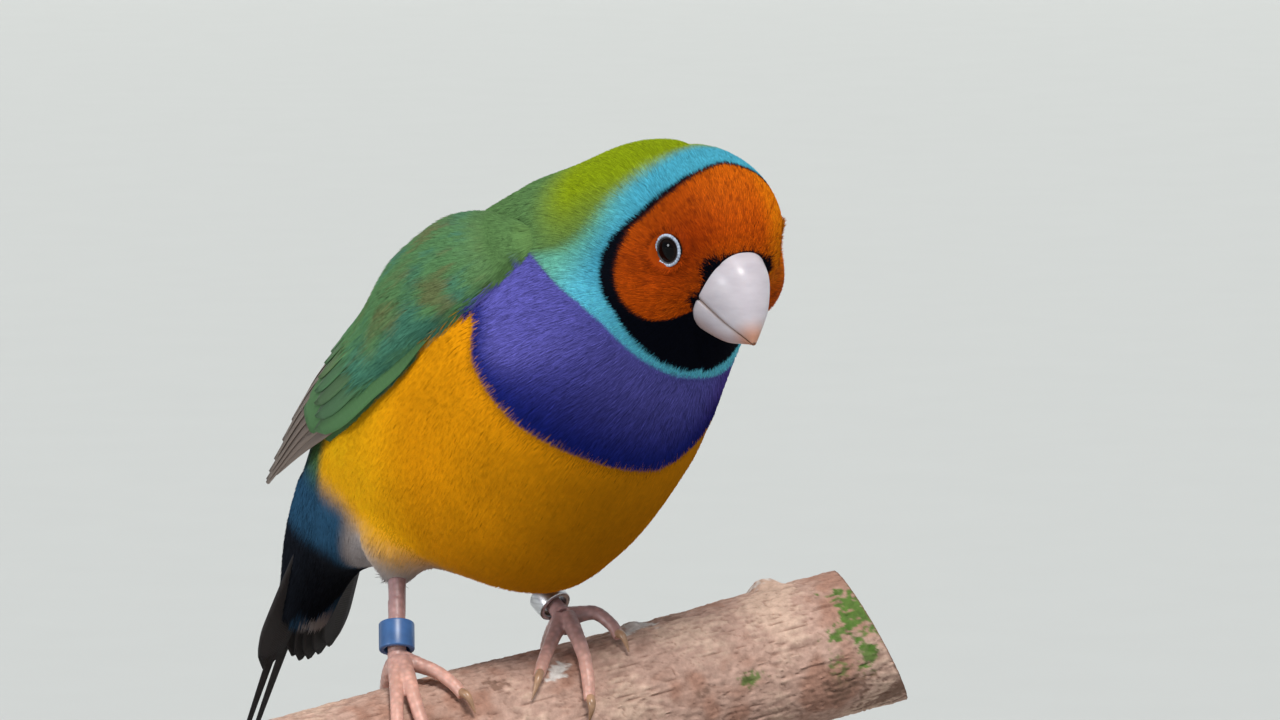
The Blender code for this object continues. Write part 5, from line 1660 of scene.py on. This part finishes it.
def branch_tints(p):
    """Bark with its cracks painted darker, partly browner bark and partly painted shade, moss, pale
    crusts, dark stains and the end grain.
    """
    off = p - PERCH_CENTRE
    a = off @ PERCH_AXIS
    angle = np.degrees(np.arctan2(off @ PERCH_SIDE, off @ PERCH_UP))
    _, crack, fine = bark_relief(a, angle)
    slow = ruffle(p, 0.14, 1.0, 0.0)
    mottle = ruffle(p, 0.55, 1.0, 7.0)
    speck = ruffle(p, 2.2, 1.0, 5.0)
    # The cracks are painted darker: partly browner bark, partly painted shade
    rgb = mix(tint("bark"), tint("bark_dark_and_crack_shade"), np.clip(0.62 * crack - 0.25 * fine, 0, 1))
    rgb = mix(rgb, rgb * BARK_SHADE, smooth(0.0, 0.5, -slow + 0.5 * mottle))
    rgb = mix(rgb, BARK_PALE, 0.55 * smooth(0.05, 0.5, slow + 0.4 * fine) * (1 - crack))
    for at, turn, wide, tall, name, share in BARK_SPOTS:
        gap = np.hypot((a - at) / wide, turned_from(angle, turn) * math.radians(PERCH_RADIUS) / tall)
        gap = gap + 0.9 * mottle + 0.7 * fine + 0.9 * speck
        rgb = mix(rgb, tint(name), share * smooth(1.2, 0.65, gap))
    cut = (p - PERCH_CENTRE - PERCH_AXIS * PERCH_RIGHT) @ PERCH_END_FACING
    flat = (np.abs(cut) < 0.01) | (a < PERCH_LEFT + 0.01)
    radius = np.linalg.norm(off - a[:, None] * PERCH_AXIS, axis=1)
    rings = 0.5 + 0.5 * np.sin(radius * 8.0 + 4.0 * slow)
    wood = mix(GRAIN_DARK, GRAIN_PALE, rings)
    wood = mix(wood, tint("bark_dark_and_crack_shade"), smooth(6.6, 7.1, radius))
    return mix(rgb, wood, flat)


class FINCH_OT_perch(bpy.types.Operator):
    """Make the cut branch with its cracked bark, moss and end grain"""
    bl_idname = "finch.perch"
    bl_label = "Branch"

    def execute(self, context):
        bm = shaped(270, BARK_ROWS + 2 * END_ROWS, branch_point)
        obj = settle("branch", bm, bark_material())
        obj.data.set_sharp_from_angle(angle=math.radians(50))
        paint(obj.data, branch_tints(points_of(obj)))
        place_piece(obj, "bark", "perch")
        return {'FINISHED'}


def bark_material():
    made = Finish("bark", 0.88)
    grain = made.noise(1100.0, 6.0, 0.65)
    made.shaded(made.ramp(grain, (0.30, (0.70, 0.68, 0.66)), (0.70, (1.15, 1.15, 1.15))))
    made.bump(grain, 0.5, 0.0002)
    return made.mat


def wood_material():
    made = Finish("stand_wood", 0.38)
    rings = made.noise(1.0, 6.0, 0.6, 0.8, (14.0, 160.0, 160.0))
    brown = tint("wood")
    made.mottled(rings, (0.3, brown * 0.5), (0.55, brown), (0.75, brown * 1.6))
    made.bump(rings, 0.15, 0.0001)
    made.set(Coat_Weight=0.3, Coat_Roughness=0.25)
    return made.mat


def brass_material():
    made = Finish("stand_brass", 0.25, 1.0)
    brush = made.noise(1.0, 3.0, stretch=(900.0, 900.0, 60.0))
    made.mottled(brush, (0.3, tint("brass") * 0.8), (0.7, tint("brass")))
    made.bump(brush, 0.08, 0.00003)
    return made.mat


def stand_piece(name, profile, place, steps, material, slot, node):
    """A turned piece of the stand, with its edges kept sharp."""
    obj = settle(name, turned(profile, place, (0, 0, 1), steps), material)
    obj.data.set_sharp_from_angle(angle=math.radians(35))
    place_piece(obj, slot, node)


class FINCH_OT_stand(bpy.types.Operator):
    """Make the turned base and the two rods"""
    bl_idname = "finch.stand"
    bl_label = "Stand"

    def execute(self, context):
        floor = -MIDDLE[2]
        middle = (-MIDDLE[0], -MIDDLE[1], floor)
        r = BASE_RADIUS
        profile = [(0.01, 0.0), (r - 0.3, 0.0), (r, 0.3), (r, 2.6), (r - 0.5, 3.0), (r - 0.5, 3.5)]
        profile += [(r - 2.3 + 1.6 * math.cos(math.radians(t)),
                     BASE_HEIGHT - 2.0 + 2.0 * math.sin(math.radians(t))) for t in range(0, 91, 15)]
        profile.append((0.01, BASE_HEIGHT))
        stand_piece("stand_base_wood", profile, middle, 128, wood_material(), "stand_wood", "stand_base")
        brass = brass_material()
        for at, name in zip(ROD_PLACES, ("stand_rod_right", "stand_rod_left")):
            foot = PERCH_CENTRE + PERCH_AXIS * at
            bottom = floor + BASE_HEIGHT + 0.02
            high = foot[2] - PERCH_RADIUS + 0.6 - bottom
            rod = [(0.01, 0.0), (2.9, 0.0), (3.0, 0.15), (3.0, 0.75), (2.7, 1.0), (1.75, 1.15),
                   (ROD_RADIUS, 1.5), (ROD_RADIUS, high), (0.01, high)]
            stand_piece(name + "_brass", rod, (foot[0], foot[1], bottom), 48, brass, "stand_metal", name)
        return {'FINISHED'}


# Stage
def camera_axes():
    az, el = math.radians(CAMERA_AZIMUTH), math.radians(CAMERA_HEIGHT)
    back = np.array((math.sin(az) * math.cos(el), -math.cos(az) * math.cos(el), math.sin(el)))
    right = np.array((math.cos(az), math.sin(az), 0.0))
    return right, back, np.cross(back, right)


def looking(name, data, place, back):
    """A camera or lamp at a place in millimetres, looking against the way back."""
    obj = linked(name, data)
    obj.location = Vector(place * MM)
    obj.rotation_mode = 'QUATERNION'
    obj.rotation_quaternion = Vector(-back).to_track_quat('-Z', 'Y')
    return obj


def sweep(u, v):
    """The floor in metres, which rises far behind the model."""
    x = (u - 0.5) * 6.0
    y = (v - 0.35) * 6.0
    rise = np.clip(y - 1.6, 0, None)
    return np.stack((x, np.minimum(y, 1.6 + 0.7 * np.tanh(rise / 0.7)), 0.9 * rise ** 1.5), 1)


class FINCH_OT_stage(bpy.types.Operator):
    """Set the floor, the soft lights and the camera"""
    bl_idname = "finch.stage"
    bl_label = "Stage"

    def execute(self, context):
        scene = context.scene
        right, back, up = camera_axes()
        data = bpy.data.cameras.new("camera")
        data.lens = CAMERA_LENS
        data.sensor_width = 36.0
        data.clip_start = 0.05
        data.clip_end = 20.0
        target = MIDDLE + CAMERA_AIM[0] * right + CAMERA_AIM[1] * up
        scene.camera = looking("camera", data, target + back * CAMERA_AWAY, back)
        paper = Finish("floor_paper", 0.9)
        pale = tint("paper")
        paper.mottled(paper.noise(60.0), (0.3, pale * 0.985), (0.7, pale))
        bm = shaped(24, 90, sweep, wrap=False, caps=False)
        bm.transform(Matrix.Rotation(math.radians(CAMERA_AZIMUTH), 4, 'Z'))
        floor = dressed("floor", drawn("floor", bm), paper.mat)
        for name, way, power, soft, rgb in (
                ("key", 0.12 * right + 0.68 * back + 0.72 * up, 2.6, 16.0, (1.0, 0.975, 0.94)),
                ("side", -0.80 * right + 0.55 * back + 0.10 * up, 1.1, 12.0, (0.94, 0.97, 1.0)),
                ("rim", -0.32 * right - 0.68 * back + 0.75 * up, 1.7, 20.0, (1.0, 1.0, 0.97))):
            light = bpy.data.lights.new(name, 'SUN')
            light.energy = power
            light.angle = math.radians(soft)
            light.color = rgb
            looking(name, light, MIDDLE + unit(way) * 600.0, unit(way))
        scene.world = bpy.data.worlds.new("studio")
        scene.world.use_nodes = True
        sky = scene.world.node_tree.nodes["Background"]
        sky.inputs["Color"].default_value = (0.86, 0.92, 1.0, 1.0)
        sky.inputs["Strength"].default_value = 0.44
        scene.view_settings.view_transform = 'Standard'
        return {'FINISHED'}


STEPS = ("stage", "skin", "coat", "wings", "tail", "beak", "eyes", "legs", "rings", "perch", "stand")


class FINCH_PT_panel(bpy.types.Panel):
    """Lists the finch's sizes, colours and steps"""
    bl_label = "Gouldian Finch"
    bl_idname = "FINCH_PT_panel"
    bl_space_type = 'VIEW_3D'
    bl_region_type = 'UI'
    bl_category = "Finch"

    def draw(self, context):
        layout = self.layout
        for step in STEPS:
            layout.operator("finch." + step)
        for group in (context.scene.finch_sizes, context.scene.finch_colours):
            box = layout.box()
            for key in group.__annotations__:
                box.prop(group, key)


CLASSES = (FinchSizes, FinchColours, FINCH_OT_stage, FINCH_OT_skin, FINCH_OT_coat, FINCH_OT_wings,
           FINCH_OT_tail, FINCH_OT_beak, FINCH_OT_eyes, FINCH_OT_legs, FINCH_OT_rings,
           FINCH_OT_perch, FINCH_OT_stand, FINCH_PT_panel)


def register():
    for cls in CLASSES:
        bpy.utils.register_class(cls)
    bpy.types.Scene.finch_sizes = PointerProperty(type=FinchSizes)
    bpy.types.Scene.finch_colours = PointerProperty(type=FinchColours)


def unregister():
    del bpy.types.Scene.finch_colours
    del bpy.types.Scene.finch_sizes
    for cls in reversed(CLASSES):
        bpy.utils.unregister_class(cls)


def main():
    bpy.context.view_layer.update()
    register()
    for step in STEPS:
        getattr(bpy.ops.finch, step)()


if __name__ == "__main__":
    main()
